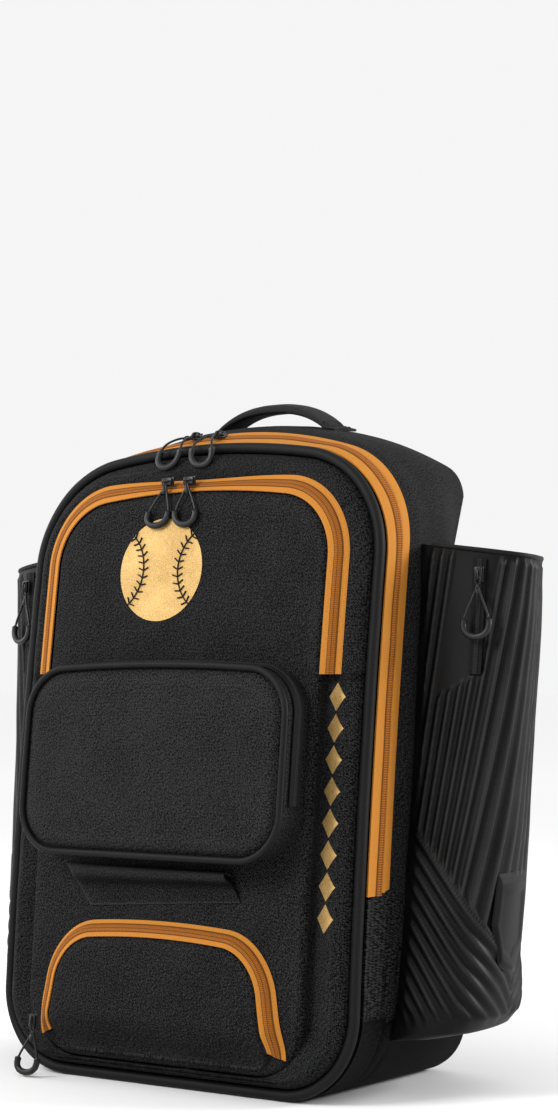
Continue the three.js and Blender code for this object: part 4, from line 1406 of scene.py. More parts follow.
@dataclass
class BatSleeve:
    """An open-topped sleeve on one side of the bag, with moulded ribs."""

    side: Side
    form: BagForm = FORM
    bulge: float = 99.0
    wall: float = 2.2
    rim_drop: float = 12.0
    seam_gap: float = 0.5
    around: int = 290
    tall: int = 160
    rib: float = 2.6
    rib_pitch: float = 8.6
    low_pitch: float = 14.0
    zip_shares: tuple[float, float] = (0.112, 0.158)
    zip_length: float = 96.0
    zip_width: float = 15.0
    fan_turn: float = 236.0
    fan_slope: float = 1.04
    fan_top: float = 222.0
    plain_from: float = 33.0
    plain_to: float = 70.0
    plain_foot: float = 318.0
    rib_top: float = 431.0
    rim_arc: list[float] = field(default_factory=list)

    BULGES = (
        (0.0, 0.035), (0.005, 0.38), (0.018, 0.62), (0.05, 0.74), (0.12, 0.79),
        (0.27, 0.84), (0.47, 0.89), (0.7, 0.94), (0.9, 0.98), (1.0, 1.0),
    )
    LEANS = ((0.0, 0.13), (50.0, 0.125), (95.0, 0.08), (135.0, 0.03), (180.0, 0.0), (300.0, 0.0))
    GUARD = ((0.318, 0.235), (0.4, 0.15), (0.5, 0.125), (0.56, 0.18), (0.55, 0.335), (0.325, 0.335))

    def bulge_share(self, height: float) -> float:
        """How far the sleeve stands out at a share of its height."""
        for low, high in zip(self.BULGES, self.BULGES[1:]):
            if height <= high[0]:
                return mix(low[1], high[1], (height - low[0]) / (high[0] - low[0]))
        return 1.0

    def surface(self, around: float, height: float, lift: float = 0.0) -> Vector:
        """Gives a point of the smooth wall, on the right side of the bag.

        Args:
            around: Share of the way round it, from the front seam to the back seam.
            height: Share of the way up it.
            lift: How far off the wall.

        Returns:
            The point.
        """
        form = self.form
        angle = math.pi * clamp(around)
        reach = max(math.sin(angle), 0.0) ** (2 / 3)
        depth = (1 - math.copysign(abs(math.cos(angle)) ** (2 / 3), math.cos(angle))) / 2
        z0 = mix(form.sleeve_bottom, form.sleeve_rim, height)
        z = z0 - self.rim_drop * reach * height**6
        front = form.sleeve_front_y(z0)
        y = mix(front - lift, form.sleeve_back + lift, depth)
        seam_share = clamp((y - front) / (form.sleeve_back - front))
        seam = form.side_x(seam_share, z) + self.seam_gap
        return Vector((seam + (self.bulge * self.bulge_share(height) + lift) * reach, y, z))

    def outward(self, around: float, height: float) -> Vector:
        """Gives the direction out of the smooth wall."""
        a = clamp(around, 0.004, 0.996)
        step = 0.003
        run = self.surface(a + step, height) - self.surface(a - step, height)
        low, high = max(height - 0.01, 0.0), min(height + 0.01, 1.0)
        rise = self.surface(a, high) - self.surface(a, low)
        return run.cross(rise).normalized()

    def arc(self, around: float) -> float:
        """Length round the rim from the front seam to a share of the way round."""
        if not self.rim_arc:
            count = 200
            total, last = 0.0, self.surface(0.0, 0.95)
            self.rim_arc.append(0.0)
            for k in range(1, count + 1):
                point = self.surface(k / count, 0.95)
                total += (point - last).length
                self.rim_arc.append(total)
                last = point
        spot = clamp(around) * (len(self.rim_arc) - 1)
        k = min(int(spot), len(self.rim_arc) - 2)
        return mix(self.rim_arc[k], self.rim_arc[k + 1], spot - k)

    @staticmethod
    def ridge(phase: float) -> float:
        """Height share of a moulded rib: a long slope up and a short one down."""
        part = phase % 1.0
        return ease(part / 0.7) ** 1.5 if part < 0.7 else ease((1 - part) / 0.3)

    def ribs(self, around: float, height: float) -> float:
        """Height share of the ribs at a spot of the wall."""
        z = mix(self.form.sleeve_bottom, self.form.sleeve_rim, height)
        arc = self.arc(around)
        (lean,) = along(self.LEANS, arc)
        upper = self.ridge((arc + lean * (self.form.sleeve_rim - z)) / self.rib_pitch)
        edge = z + self.fan_slope * min(arc, self.fan_turn - arc) - self.fan_top
        lower = self.ridge(edge / self.low_pitch)
        slant = 0.13 * (self.form.sleeve_rim - z)
        plain = ease((arc + slant - self.plain_from) / 3) * ease((self.plain_to - arc - 0.5 * slant) / 3)
        plain *= ease((z - self.plain_foot - 0.5 * (arc - 30)) / 6)
        upper *= 1 - plain
        upper *= 1 - 0.75 * ease((z - self.rib_top) / 5)
        share = ease((edge + 1.5) / 3)
        welt = dip(edge, 2.4) * 0.9
        blend = max(mix(lower, upper, share), welt)
        return blend * ease((height - 0.02) / 0.06) * ease(around / 0.012) * ease((1 - around) / 0.02)

    def place(self, a: float, b: float) -> Vector:
        """Gives a point of the ribbed wall."""
        around, height = self.spread(a, b)
        point = self.surface(around, height)
        swell = self.rib * self.ribs(around, height)
        soft = math.sin(math.pi * around) ** 0.5
        folds = 1.5 * wander(*point, 70.0, 20.0) + 0.5 * wander(*point, 26.0, 30.0)
        gather = 1.6 * self.gathers(around) * ease((height - 0.9) / 0.1)
        point += self.outward(around, height) * (swell + (folds * 0.6 + gather) * soft * ease(height / 0.1))
        return self.side.turned(point)

    @staticmethod
    def gathers(around: float) -> float:
        """Height of the small puckers at the back half of the mouth, from -1 to 1."""
        return math.sin(around * 150) * ease((around - 0.5) / 0.1) * ease((0.98 - around) / 0.05)

    def spread(self, a: float, b: float) -> tuple[float, float]:
        """Gives the shares round and up the wall for the grid's shares, closer where the wall bends."""
        return mix(a, ease(a), 0.25), b**1.2

    def tone(self, a: float, b: float) -> float:
        """Gives the wall's tone: painted shade between the ribs, and lighter crests that are partly wear
        and partly painted highlight.
        """
        rib = self.ribs(*self.spread(a, b))
        # painted shade in the rib valleys; the crests are lightened as wear and painted highlight
        return 0.02 + 0.2 * ease(rib / 0.6) + 0.75 * ease((rib - 0.6) / 0.4)

    def build(self) -> None:
        """Makes the sleeve, its rim, zip and guard."""
        word = self.side.word
        bm = bmesh.new()
        lay_grid(bm, self.around, self.tall, self.place, tone=self.tone)
        name, node = f"bat_sleeve_{word}", f"sleeve_{word}"
        Piece(name, Slot.RIBBED, (RIBBED,), (node,), wall=self.wall, smooth_angle=60).make(bm)
        self.build_zip()
        self.build_guard()
        self.build_rim()

    def build_rim(self) -> None:
        """Makes the bound edge round the mouth."""
        bm = bmesh.new()

        def line(share: float) -> Vector:
            """Gives the middle of the binding."""
            around = mix(0.012, 0.985, share)
            point = self.surface(around, 1.0)
            inward = self.outward(around, 0.98) * -0.6
            return self.side.turned(point + inward + Vector((0, 0, 0.2 + 0.45 * self.gathers(around))))

        lay_tube(bm, line, lambda share: 2.1, 160, 8, up=Vector((0, 0, 1)))
        Piece(f"sleeve_rim_{self.side.word}", Slot.RIBBED, (PIPING,)).make(bm)

    def build_zip(self) -> None:
        """Makes the short black zip below the rim."""
        tall = self.form.sleeve_rim - self.form.sleeve_bottom
        low, high = 1 - (self.zip_length + 8) / tall, 1 - 7 / tall

        def place(a: float, b: float) -> Vector:
            """Gives a point of the tape."""
            beside = (b - 0.5) * self.zip_width
            lift = 1.9 + 1.0 * dip(beside, 2.6) - 0.4 * dip(abs(beside) - 4.2, 0.7)
            point = self.surface(mix(*self.zip_shares, b), mix(low, high, a), lift)
            return self.side.turned(point)

        bm = bmesh.new()
        lay_grid(bm, 60, 14, place, width=self.zip_width)
        finish = ZipFinish("sleeve_zip_black", self.zip_width, *BLACK_ZIP, coil_width=5.0)
        word = self.side.word
        Piece(f"sleeve_zip_tape_{word}", Slot.TAPE, (finish,), (f"sleeve_zip_{word}",), wall=1.0).make(bm)

    def build_guard(self) -> None:
        """Makes the moulded guard low on the sleeve."""
        bm = bmesh.new()
        corners = [Vector(corner) for corner in self.GUARD]
        centre = sum(corners, Vector((0, 0))) / len(corners)

        def place(a: float, b: float) -> Vector:
            """Gives a point of the guard, with a bevelled edge and a raised field."""
            ring, share = perimeter(a, b)
            way = Vector((math.cos(2 * math.pi * share), math.sin(2 * math.pi * share) * 0.8))
            reach = min(
                (first - centre).cross(last - first) / way.cross(last - first)
                for first, last in zip(corners, corners[1:] + corners[:1])
                if way.cross(last - first) > 1e-6
            )
            spot = centre + way * (reach * ring)
            lift = 1.6 + 3.0 * ease((1 - ring) / 0.2) - 1.3 * ease((0.66 - ring) / 0.08)
            return self.side.turned(self.surface(spot.x, spot.y, lift))

        lay_grid(bm, 48, 48, place)
        name, node = f"sleeve_guard_plate_{self.side.word}", f"sleeve_guard_{self.side.word}"
        Piece(name, Slot.RIBBED, (GUARD,), (node,), wall=1.2).make(bm)


# Carrying parts


@dataclass
class HaulHandle:
    """The padded handle on top, which lies flat at both ends and arches between them."""

    form: BagForm = FORM
    span: float = 140.0
    rise: float = 11.0
    width: float = 34.0
    wall: float = 8.0
    foot_wall: float = 3.0
    foot: float = 24.0
    seat: float = 2.2
    y: float = 54.0

    def arch_at(self, x: float) -> tuple[float, float]:
        """Gives how far the handle has risen at a spot, as a share, and how thick it is there."""
        arch = max(0.0, 1 - (abs(x) / (self.span / 2 - self.foot / 2)) ** 2.6)
        return arch, mix(self.foot_wall, self.wall, math.sqrt(arch))

    def place(self, a: float, b: float) -> Vector:
        """Gives a point of the handle's skin: along it, and round its section."""
        x = (a - 0.5) * self.span
        arch, thick = self.arch_at(x)
        angle = 2 * math.pi * b
        across = math.copysign(abs(math.cos(angle)) ** 0.45, math.cos(angle))
        up = math.copysign(abs(math.sin(angle)) ** 0.6, math.sin(angle))
        tucked = 1 - 0.1 * arch
        y = self.y + self.width / 2 * across * tucked
        low = self.form.top_z(x, y) + self.seat + self.rise * arch
        crown = 0.6 * arch * (1 - across**2)
        return Vector((x, y, low + thick * (0.5 + 0.5 * up) + crown * (up > 0)))

    def build(self) -> None:
        """Makes the handle and the threads at its feet."""
        bm = bmesh.new()
        lay_grid(bm, 96, 28, self.place)
        close_up(bm)
        Piece("top_handle", Slot.TAPE, (WEBBING,), ("haul_handle",), fill=0.8).make(bm)
        bm = bmesh.new()
        for end in (-1, 1):
            x0, x1 = end * (self.span / 2 - 3), end * (self.span / 2 - 15)
            corners = [(x0, -13), (x1, -13), (x1, 13), (x0, 13)]
            lines = [(corners[k], corners[(k + 1) % 4]) for k in range(4)]
            lines += [(corners[0], corners[2]), (corners[1], corners[3])]
            for start, stop in lines:
                self.sew(bm, start, stop)
        Piece("handle_stitches", Slot.TAPE, (WEBBING,)).make(bm)

    def sew(self, bm: bmesh.types.BMesh, start: tuple[float, float], stop: tuple[float, float]) -> None:
        """Adds a row of stitches between two spots of a foot."""

        def ground(share: float) -> Vector:
            """Gives a point on top of the foot."""
            x, y = mix(start[0], stop[0], share), mix(start[1], stop[1], share)
            arch, thick = self.arch_at(x)
            low = self.form.top_z(x, self.y + y) + self.seat + self.rise * arch
            return Vector((x, self.y + y, low + thick + 0.1))

        lay_stitches(bm, ground, math.dist(start, stop))


def lay_stitches(
    bm: bmesh.types.BMesh, ground: Callable[[float], Vector], length: float, pitch: float = 3.4
) -> None:
    """Adds a row of stitches along a line.

    Args:
        bm: The mesh.
        ground: Gives the line's point for a share of its length.
        length: Its length.
        pitch: The length of one stitch and the gap after it.
    """
    count = max(int(length / pitch), 1)
    for k in range(count):
        start, stop = (k + 0.12) / count, (k + 0.82) / count
        up = Vector((0.31, 0.57, 0.76))

        def line(share: float, start: float = start, stop: float = stop) -> Vector:
            """Gives the middle of the thread."""
            return ground(mix(start, stop, share))

        lay_tube(bm, line, lambda share: 0.42 * (0.45 + math.sin(math.pi * share)), 3, 5, up=up)


@dataclass
class BackPad:
    """One of the two mesh-covered pads on the back."""

    side: Side
    form: BagForm = FORM
    width: float = 96.0
    base: float = 100.0
    height: float = 350.0
    thick: float = 13.0
    spacing: float = 124.0
    edge: float = 12.0
    channels: tuple[float, ...] = (190.0, 275.0, 360.0)
    cells: int = 70

    def build(self) -> None:
        """Makes the pad."""
        arch = Arch(self.width / 2, self.base + self.height, self.base, 2.0, 26.0, 26.0)
        y0 = self.form.back_reach + 0.3
        shift = self.side.value * self.spacing / 2
        rim = 0.78

        def face(a: float, b: float) -> Vector:
            """Gives a point of the pad's crowned face."""
            ring, share = perimeter(a, b)
            if ring >= rim:
                angle = (1 - ring) / (1 - rim) * math.pi / 2
                x, z = arch.point(share, self.edge * (1 - math.cos(angle)))
                return Vector((x + shift, y0 + 3 + (self.thick - 4.5) * math.sin(angle), z))
            x, z = arch.point(share, self.edge)
            core = ring / rim
            x, z = x * core, mix(self.base + self.height / 2, z, core)
            pressed = sum(2.6 * dip(z - level, 3.2) for level in self.channels) * ease((1 - core) / 0.3)
            crown = 1.5 * (1 - core**2) + 0.5 * wander(x, 0, z, 30.0, 40.0)
            return Vector((x + shift, y0 + self.thick - 1.5 + crown - pressed, z))

        def wall(a: float, b: float) -> Vector:
            """Gives a point of the pad's wall."""
            x, z = arch.point(a, 1.2 * (1 - b))
            return Vector((x + shift, y0 + 3 * b, z))

        bm = bmesh.new()
        lay_grid(bm, self.cells, self.cells, face, flat=True)
        lay_grid(bm, 4 * self.cells, 3, wall)
        close_up(bm)
        word = self.side.word
        Piece(f"lumbar_pad_{word}", Slot.MESH, (SPACER,), (f"back_pad_{word}",), fill=0.8).make(bm)


@dataclass
class Strap:
    """A padded shoulder strap with its ladder buckle and webbing."""

    side: Side
    form: BagForm = FORM
    width: float = 62.0
    thick: float = 12.0
    top: float = 486.0
    end: float = 196.0
    stand_off: float = 44.0
    x: float = 58.0
    spread: float = 54.0
    webbing: float = 26.0

    LINE = (
        (0.0, 0.02, 0.0), (0.06, 0.28, 0.02), (0.16, 0.66, 0.08), (0.3, 0.93, 0.22),
        (0.46, 1.0, 0.42), (0.62, 0.95, 0.62), (0.8, 0.84, 0.82), (1.0, 0.7, 1.0),
    )

    def middle(self, share: float) -> Vector:
        """Gives the strap's middle line on the right side, where it faces the back."""
        off, spread = along(self.LINE, clamp(share))
        y = self.form.back_reach + self.form.gap + self.stand_off * off
        return Vector((self.x + self.spread * spread, y, mix(self.top, self.end, clamp(share))))

    def frame_at(self, line: Callable[[float], Vector], share: float) -> tuple[Vector, Vector]:
        """Gives the directions across a strip and out of it at a share of its length."""
        run = (line(min(share + 0.01, 1)) - line(max(share - 0.01, 0))).normalized()
        across = Vector((-run.z, 0, run.x)).normalized()
        out = across.cross(run).normalized()
        return across, out if out.y > 0 else -out

    def strip(self, line: Callable[[float], Vector], width: float, thick: float) -> Place:
        """Gives the skin of a flat strip along a line."""

        def place(a: float, b: float) -> Vector:
            """Gives a point of it: along it, and round its section."""
            across, out = self.frame_at(line, a)
            angle = 2 * math.pi * b
            c, s = math.cos(angle), math.sin(angle)
            side = math.copysign(abs(c) ** 0.5, c) * width / 2
            up = (0.5 + 0.5 * math.copysign(abs(s) ** 0.3, s)) * thick
            return self.side.turned(line(a) + across * side + out * up)

        return place

    def build(self) -> None:
        """Makes the strap and what hangs from it."""
        word = self.side.word

        def padded(a: float, b: float) -> Vector:
            """Gives a point of the strap, pinched at its bound edges and both ends."""
            across, out = self.frame_at(self.middle, a)
            angle = 2 * math.pi * b
            c, s = math.cos(angle), math.sin(angle)
            side = math.copysign(abs(c) ** 0.55, c)
            width = self.width / 2 * (1 - 0.22 * ease((a - 0.86) / 0.14))
            up = math.copysign(abs(s) ** 0.75, s)
            binding = 0.62 + 0.38 * ease((1 - abs(side)) / 0.22)
            seams = 1 - 0.3 * dip(abs(side) - 0.8, 0.05)
            ends = 0.45 + 0.55 * ease(min(a, 1 - a) / 0.05)
            half = self.thick / 2 * binding * seams * ends
            lifted = self.middle(a) + out * (self.thick / 2 + up * half)
            return self.side.turned(lifted + across * side * width)

        self.tube(f"strap_pad_{word}", padded, 110, 44, Slot.MESH, SPACER, f"shoulder_strap_{word}", 0.7)
        end = self.middle(1.0)
        top = end + Vector((3, 1, -0.7))
        foot = top + Vector((5, -2, -26.0))
        self.buckle(top, foot)
        start = foot + Vector((0.5, 0, -2))
        anchor = Vector((self.x + self.spread + 14, self.form.back_reach + 0.5, 74.0))
        centre = start.lerp(anchor, 0.55) + Vector((0, 6, 0))
        low = anchor + Vector((-1, 2, 24))
        stations = [(0.0, *start), (0.5, *centre), (0.8, *low), (1.0, *anchor)]
        place = self.strip(lambda share: Vector(along(stations, clamp(share))), self.webbing, 2.0)
        self.tube(f"strap_tail_{word}", place, 60, 20, Slot.TAPE, WEBBING, f"strap_webbing_{word}")

    def tube(
        self,
        name: str,
        place: Place,
        columns: int,
        rows: int,
        slot: Slot,
        finish: object,
        node: str,
        fill: float | None = None,
    ) -> None:
        """Makes a closed strip."""
        bm = bmesh.new()
        lay_grid(bm, columns, rows, place)
        close_up(bm)
        Piece(name, slot, (finish,), (node,), fill=fill).make(bm)

    def buckle(self, top: Vector, foot: Vector) -> None:
        """Makes the ladder buckle: two rails and three bars."""
        bm = bmesh.new()
        down = foot - top
        tilt = down.normalized()
        across = Vector((-tilt.z, 0, tilt.x)).normalized()
        out = across.cross(tilt).normalized()
        out = out if out.y > 0 else -out
        middle = (top + foot) / 2 + out * 2.5
        parts = [((-16.5, 0, 0), (5, 5, 26)), ((16.5, 0, 0), (5, 5, 26))]
        parts += [((0, 0, 11), (34, 4.6, 4)), ((0, 0.4, 0), (34, 4, 4.5)), ((0, 0, -11), (34, 4.6, 4))]
        basis = Matrix((across, out, -tilt)).transposed()
        for spot, size in parts:

            def put(point: Vector, spot: tuple[float, float, float] = spot) -> Vector:
                """Gives the place of a point of a rail or bar."""
                return self.side.turned(middle + basis @ (point + Vector(spot)))

            lay_block(bm, Vector(size), 1.2, put)
        name, node = f"ladder_buckle_{self.side.word}", f"strap_buckle_{self.side.word}"
        Piece(name, Slot.BUCKLE, (MOULDED,), (node,), weld=0.001).make(bm)


# Zip hardware


@dataclass
class ZipPull:
    """A zip slider with a cord loop that ends in a moulded grip."""

    name: str
    along: Vector
    out: Vector
    hang: Callable[[float, float], Vector]
    length: float = 41.0
    width: float = 33.0
    cord: float = 1.0
    grip: float = 2.7
    knot_at: float = 5.2

    BLOCKS = (
        ((0.0, -0.9, 0.0), (8.4, 1.7, 12.4), 0.7),
        ((0.0, 1.3, 0.0), (6.6, 1.5, 10.5), 0.7),
        ((0.0, 0.2, 3.4), (3.0, 1.6, 3.4), 0.5),
    )

    def loop(self, share: float) -> Vector:
        """Gives the middle of the cord, from the slider round the loop and back."""
        turn = 2 * math.pi * share
        down = self.length * (1 - math.cos(turn)) / 2
        wide = mix(0.1, 1.0, clamp(down / self.length) ** 1.15)
        return self.hang(down, self.width / 2 * math.sin(turn) * wide)

    def thickness(self, share: float) -> float:
        """Gives the radius of the loop, which swells into the grip."""
        beside = abs((share % 1.0) - 0.5)
        grip = ease((0.205 - beside) / 0.012)
        lip = 0.25 * dip(beside - 0.195, 0.008)
        return mix(self.cord, self.grip, grip) + lip

    def build(self) -> None:
        """Makes the slider and the pull."""
        low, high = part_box(f"slider_{self.name}")
        centre = (low + high) / 2 / MM
        bm = bmesh.new()
        across = self.out.cross(self.along).normalized()
        for spot, size, edge in self.BLOCKS:

            def put(point: Vector, spot: tuple[float, float, float] = spot) -> Vector:
                """Gives the place of a point of a block, which narrows towards the zip's closed end."""
                co = point + Vector(spot)
                narrow = 1 - 0.16 * ease((-co.z) / 8)
                return centre + across * (co.x * narrow) + self.out * co.y + self.along * co.z

            lay_block(bm, Vector(size), edge, put)

        def bridge(share: float) -> Vector:
            """Gives the middle of the bridge over the slider."""
            angle = math.pi * share
            return centre + self.along * (4.2 * math.cos(angle)) + self.out * (1.6 + 2.0 * math.sin(angle))

        lay_tube(bm, bridge, lambda share: 0.85, 14, 8, up=across)
        start = self.hang(0.0, 0.0)

        def ring(share: float) -> Vector:
            """Gives the middle of the link between the bridge and the cord."""
            angle = 2 * math.pi * share
            far = centre + self.out * 3.0 - self.along * 1.2
            return far.lerp(start, 0.5 - 0.5 * math.cos(angle)) + across * (2.1 * math.sin(angle))

        lay_tube(bm, ring, lambda share: 0.75, 28, 8, closed=True, up=self.out)
        name, node = f"zip_slider_{self.name}", f"slider_{self.name}"
        Piece(name, Slot.SLIDER, (ENAMEL,), (node,), weld=0.001).make(bm)
        bm = bmesh.new()
        lay_tube(bm, self.loop, self.thickness, 140, 12, closed=True, up=self.out)

        def knot(share: float) -> Vector:
            """Gives the middle of the knot."""
            return self.hang(mix(self.knot_at - 2.6, self.knot_at + 2.6, share), 0.0)

        def swell(share: float) -> float:
            """Gives the knot's radius."""
            return 1.0 + 1.25 * math.sin(math.pi * clamp(share, 0.02, 0.98)) ** 0.5

        lay_tube(bm, knot, swell, 12, 12, up=self.out.cross(Vector((1, 0.2, 0.1))))
        Piece(f"zip_pull_{self.name}", Slot.PULL, (MOULDED,), (f"pull_{self.name}",), weld=0.001).make(bm)


@dataclass
class ZipHardware:
    """All the sliders and pulls, where the frame has them."""

    form: BagForm = FORM
    short_pull: float = 34.0
    slider: float = 13.0
    below_rim: float = 8.0
    upper_above: float = 8.5
    low_x: float = -123.0
    low_z: float = 46.0

    TOP = (("main_left", -32.0, -0.12), ("main_right", -7.0, 0.2))
    UPPER = (("upper_left", -27.0, -0.22), ("upper_right", -4.0, 0.02))

    def on_front(self, name: str, x: float, z: float, clear: float, lean: float, level: bool) -> ZipPull:
        """Gives a pull that hangs in front of the slope of the front.

        Args:
            name: The slider's name.
            x, z: Where the slider sits.
            clear: How far in front of the front line the pull hangs.
            lean: How far it leans to the side for each millimetre down.
            level: Whether the zip runs level there.

        Returns:
            The pull.
        """
        slope = self.form.front_lean * (1 + 2 * z / self.form.front_height) / (2 * self.form.front_height)
        start = z - (2.4 if level else 8.1)

        def hang(down: float, across: float) -> Vector:
            """Gives a point below the slider."""
            low = start - down
            return self.form.ahead(x + across + lean * down, low, clear)

        run = Vector((1, 0, 0)) if level else Vector((0, slope, 1)).normalized()
        return ZipPull(name, run, Vector((0, -1, slope)).normalized(), hang, self.short_pull)

    def on_top(self, name: str, x: float, lean: float) -> ZipPull:
        """Gives a pull that drapes forward over the piping."""
        form, tall = self.form, self.form.front_height
        front = Vector((x, form.front_y(tall) + form.piping, tall))
        back = Vector((x, form.front_y(tall) + form.zip_back, form.section("zip").top))
        slope = (back - front).normalized()
        out = Vector((0, -slope.z, slope.y))
        place = front.lerp(back, 0.5)
        brink = form.front_y(tall) - form.piping
        start = place - slope * 6.6 + out * 3.5
        points = [
            start,
            Vector((x, brink + 6, tall + 6)),
            Vector((x, brink - 5, tall)),
            Vector((x, brink - 10, tall - 10)),
            Vector((x, brink - 15, tall - 26)),
        ]
        lengths = marks(points)
        stations = [(length, *point) for length, point in zip(lengths, points)]

        def hang(down: float, across: float) -> Vector:
            """Gives a point of the draped pull."""
            point = Vector(along(stations, clamp(down * 1.1, 0.0, lengths[-1])))
            return point + Vector((across + lean * down, 0, 0))

        return ZipPull(name, Vector((1, 0, 0)), out, hang)

    def on_sleeve(self, sleeve: BatSleeve) -> ZipPull:
        """Gives a pull that hangs down a sleeve."""
        height = 1 - (self.below_rim + self.slider) / (self.form.sleeve_rim - self.form.sleeve_bottom)
        near, far = (sleeve.surface(share, height, 2.7) for share in sleeve.zip_shares)
        tangent = far - near
        tangent.z = 0
        tangent.normalize()
        out = Vector((tangent.y, -tangent.x, 0))
        _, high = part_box(f"pull_sleeve_{sleeve.side.word}")
        top = high.z / MM - 1.6
        centre = near.lerp(far, 0.5) + out * 4.3

        def hang(down: float, across: float) -> Vector:
            """Gives a point below the slider."""
            point = centre + tangent * across + out * (0.12 * down)
            return sleeve.side.turned(Vector((point.x, point.y, top - down)))

        return ZipPull(f"sleeve_{sleeve.side.word}", Vector((0, 0, 1)), sleeve.side.turned(out), hang)

    def build(self, sleeves: Sequence[BatSleeve]) -> None:
        """Makes every slider and pull."""
        upper_z = TALL.top + self.upper_above
        clear = TALL_FACE + 3.8
        low_clear = TALL_FACE + LOW_DEPTH
        pulls = [self.on_top(name, x, lean) for name, x, lean in self.TOP]
        pulls += [self.on_front(name, x, upper_z, clear, lean, True) for name, x, lean in self.UPPER]
        pulls.append(self.on_front("low", self.low_x, self.low_z, low_clear, -0.2, False))
        pulls += [self.on_sleeve(sleeve) for sleeve in sleeves]
        for pull in pulls:
            pull.build()


# Plain foil trim


@dataclass
class FoilTrim:
    """A plain ball on the tall pocket and a column of lozenges on the border, both in gold foil."""

    pocket: TallPocket
    panel: FrontPanel
    form: BagForm = FORM
    ball_x: float = -26.0
    ball_z: float = 422.0
    ball_radius: float = 43.0
    lozenges: int = 8
    lozenge_half: float = 10.0
    low_z: float = 145.0
    pitch: float = 24.6
    column_x: float = 154.0

    def on_pocket(self, x: float, z: float, lift: float) -> Vector:
        """Gives a point just in front of the tall pocket's face."""
        middle = (self.pocket.arch.top + self.pocket.arch.bottom) / 2
        half_tall = (self.pocket.arch.top - self.pocket.arch.bottom) / 2 - self.pocket.edge
        core = max(abs(x) / (self.pocket.arch.half - self.pocket.edge), abs(z - middle) / half_tall)
        return self.form.ahead(x, z, self.pocket.height(x, z, clamp(core)) + lift)

    def build(self) -> None:
        """Makes the foil shapes and the ball's sewn lines."""
        bm = bmesh.new()

        def ball(a: float, b: float) -> Vector:
            """Gives a point of the ball's disc."""
            ring, share = perimeter(a, b)
            angle = 2 * math.pi * (share - 0.25)
            reach = self.ball_radius * ring
            x, z = self.ball_x + reach * math.cos(angle), self.ball_z + reach * math.sin(angle)
            return self.on_pocket(x, z, 0.45)

        lay_grid(bm, 40, 40, ball, flat=True)
        Piece("foil_ball", Slot.CLOTH, (FoilFinish(),), wall=0.3, weld=0.005).make(bm)
        bm = bmesh.new()
        for side in (-1, 1):
            self.seam(bm, side)
        Piece("foil_ball_seams", Slot.CLOTH, (PIPING,), weld=0.001).make(bm)
        bm = bmesh.new()
        for k in range(self.lozenges):
            z0 = self.low_z + self.pitch * k

            def lozenge(a: float, b: float, z0: float = z0) -> Vector:
                """Gives a point of a lozenge."""
                s, t = (a - 0.5) * 2, (b - 0.5) * 2
                x = self.column_x + self.lozenge_half * 0.95 * (s - t) / 2
                z = z0 + self.lozenge_half * 1.12 * (s + t) / 2
                return self.on_border(x, z)

            lay_grid(bm, 8, 8, lozenge, flat=True)
        Piece("foil_lozenges", Slot.CLOTH, (FoilFinish(),), wall=0.3, weld=0.005).make(bm)

    def on_border(self, x: float, z: float) -> Vector:
        """Gives a point just in front of the border at the right of the tall pocket."""
        near = TALL.half + 1.0
        far = FRONT.half - self.panel.slope
        reach = (x - near) / (far - near)
        low, high = 0.1, 0.9
        for _ in range(30):
            middle = (low + high) / 2
            if self.panel.profile(middle)[0] < reach:
                low = middle
            else:
                high = middle
        return self.form.ahead(x, z, self.panel.height(low, x, z) + 0.5)

    def seam(self, bm: bmesh.types.BMesh, side: int) -> None:
        """Adds one curved seam of the ball, with slanting stitches across it."""
        reach = self.ball_radius

        def spot(share: float, beside: float = 0.0) -> Vector:
            """Gives a point of the seam, or beside it."""
            angle = mix(-0.92, 0.92, share)
            centre = side * reach * 1.28
            radius = reach * 0.86 + beside
            x = self.ball_x + centre - side * radius * math.cos(angle)
            return self.on_pocket(x, self.ball_z + radius * math.sin(angle), 1.1)

        lay_tube(bm, spot, lambda share: 0.55, 40, 6, up=Vector((0, 1, 0)))
        count = 11
        for k in range(count):
            share = (k + 0.5) / count
            for direction in (-1, 1):

                def stitch(s: float, share: float = share, direction: int = direction) -> Vector:
                    """Gives the middle of a slanting stitch."""
                    return spot(share + 0.03 * s, direction * (0.6 + 4.4 * s))

                lay_tube(bm, stitch, lambda s: 0.6, 3, 6, up=Vector((0, 1, 0)))


# The studio


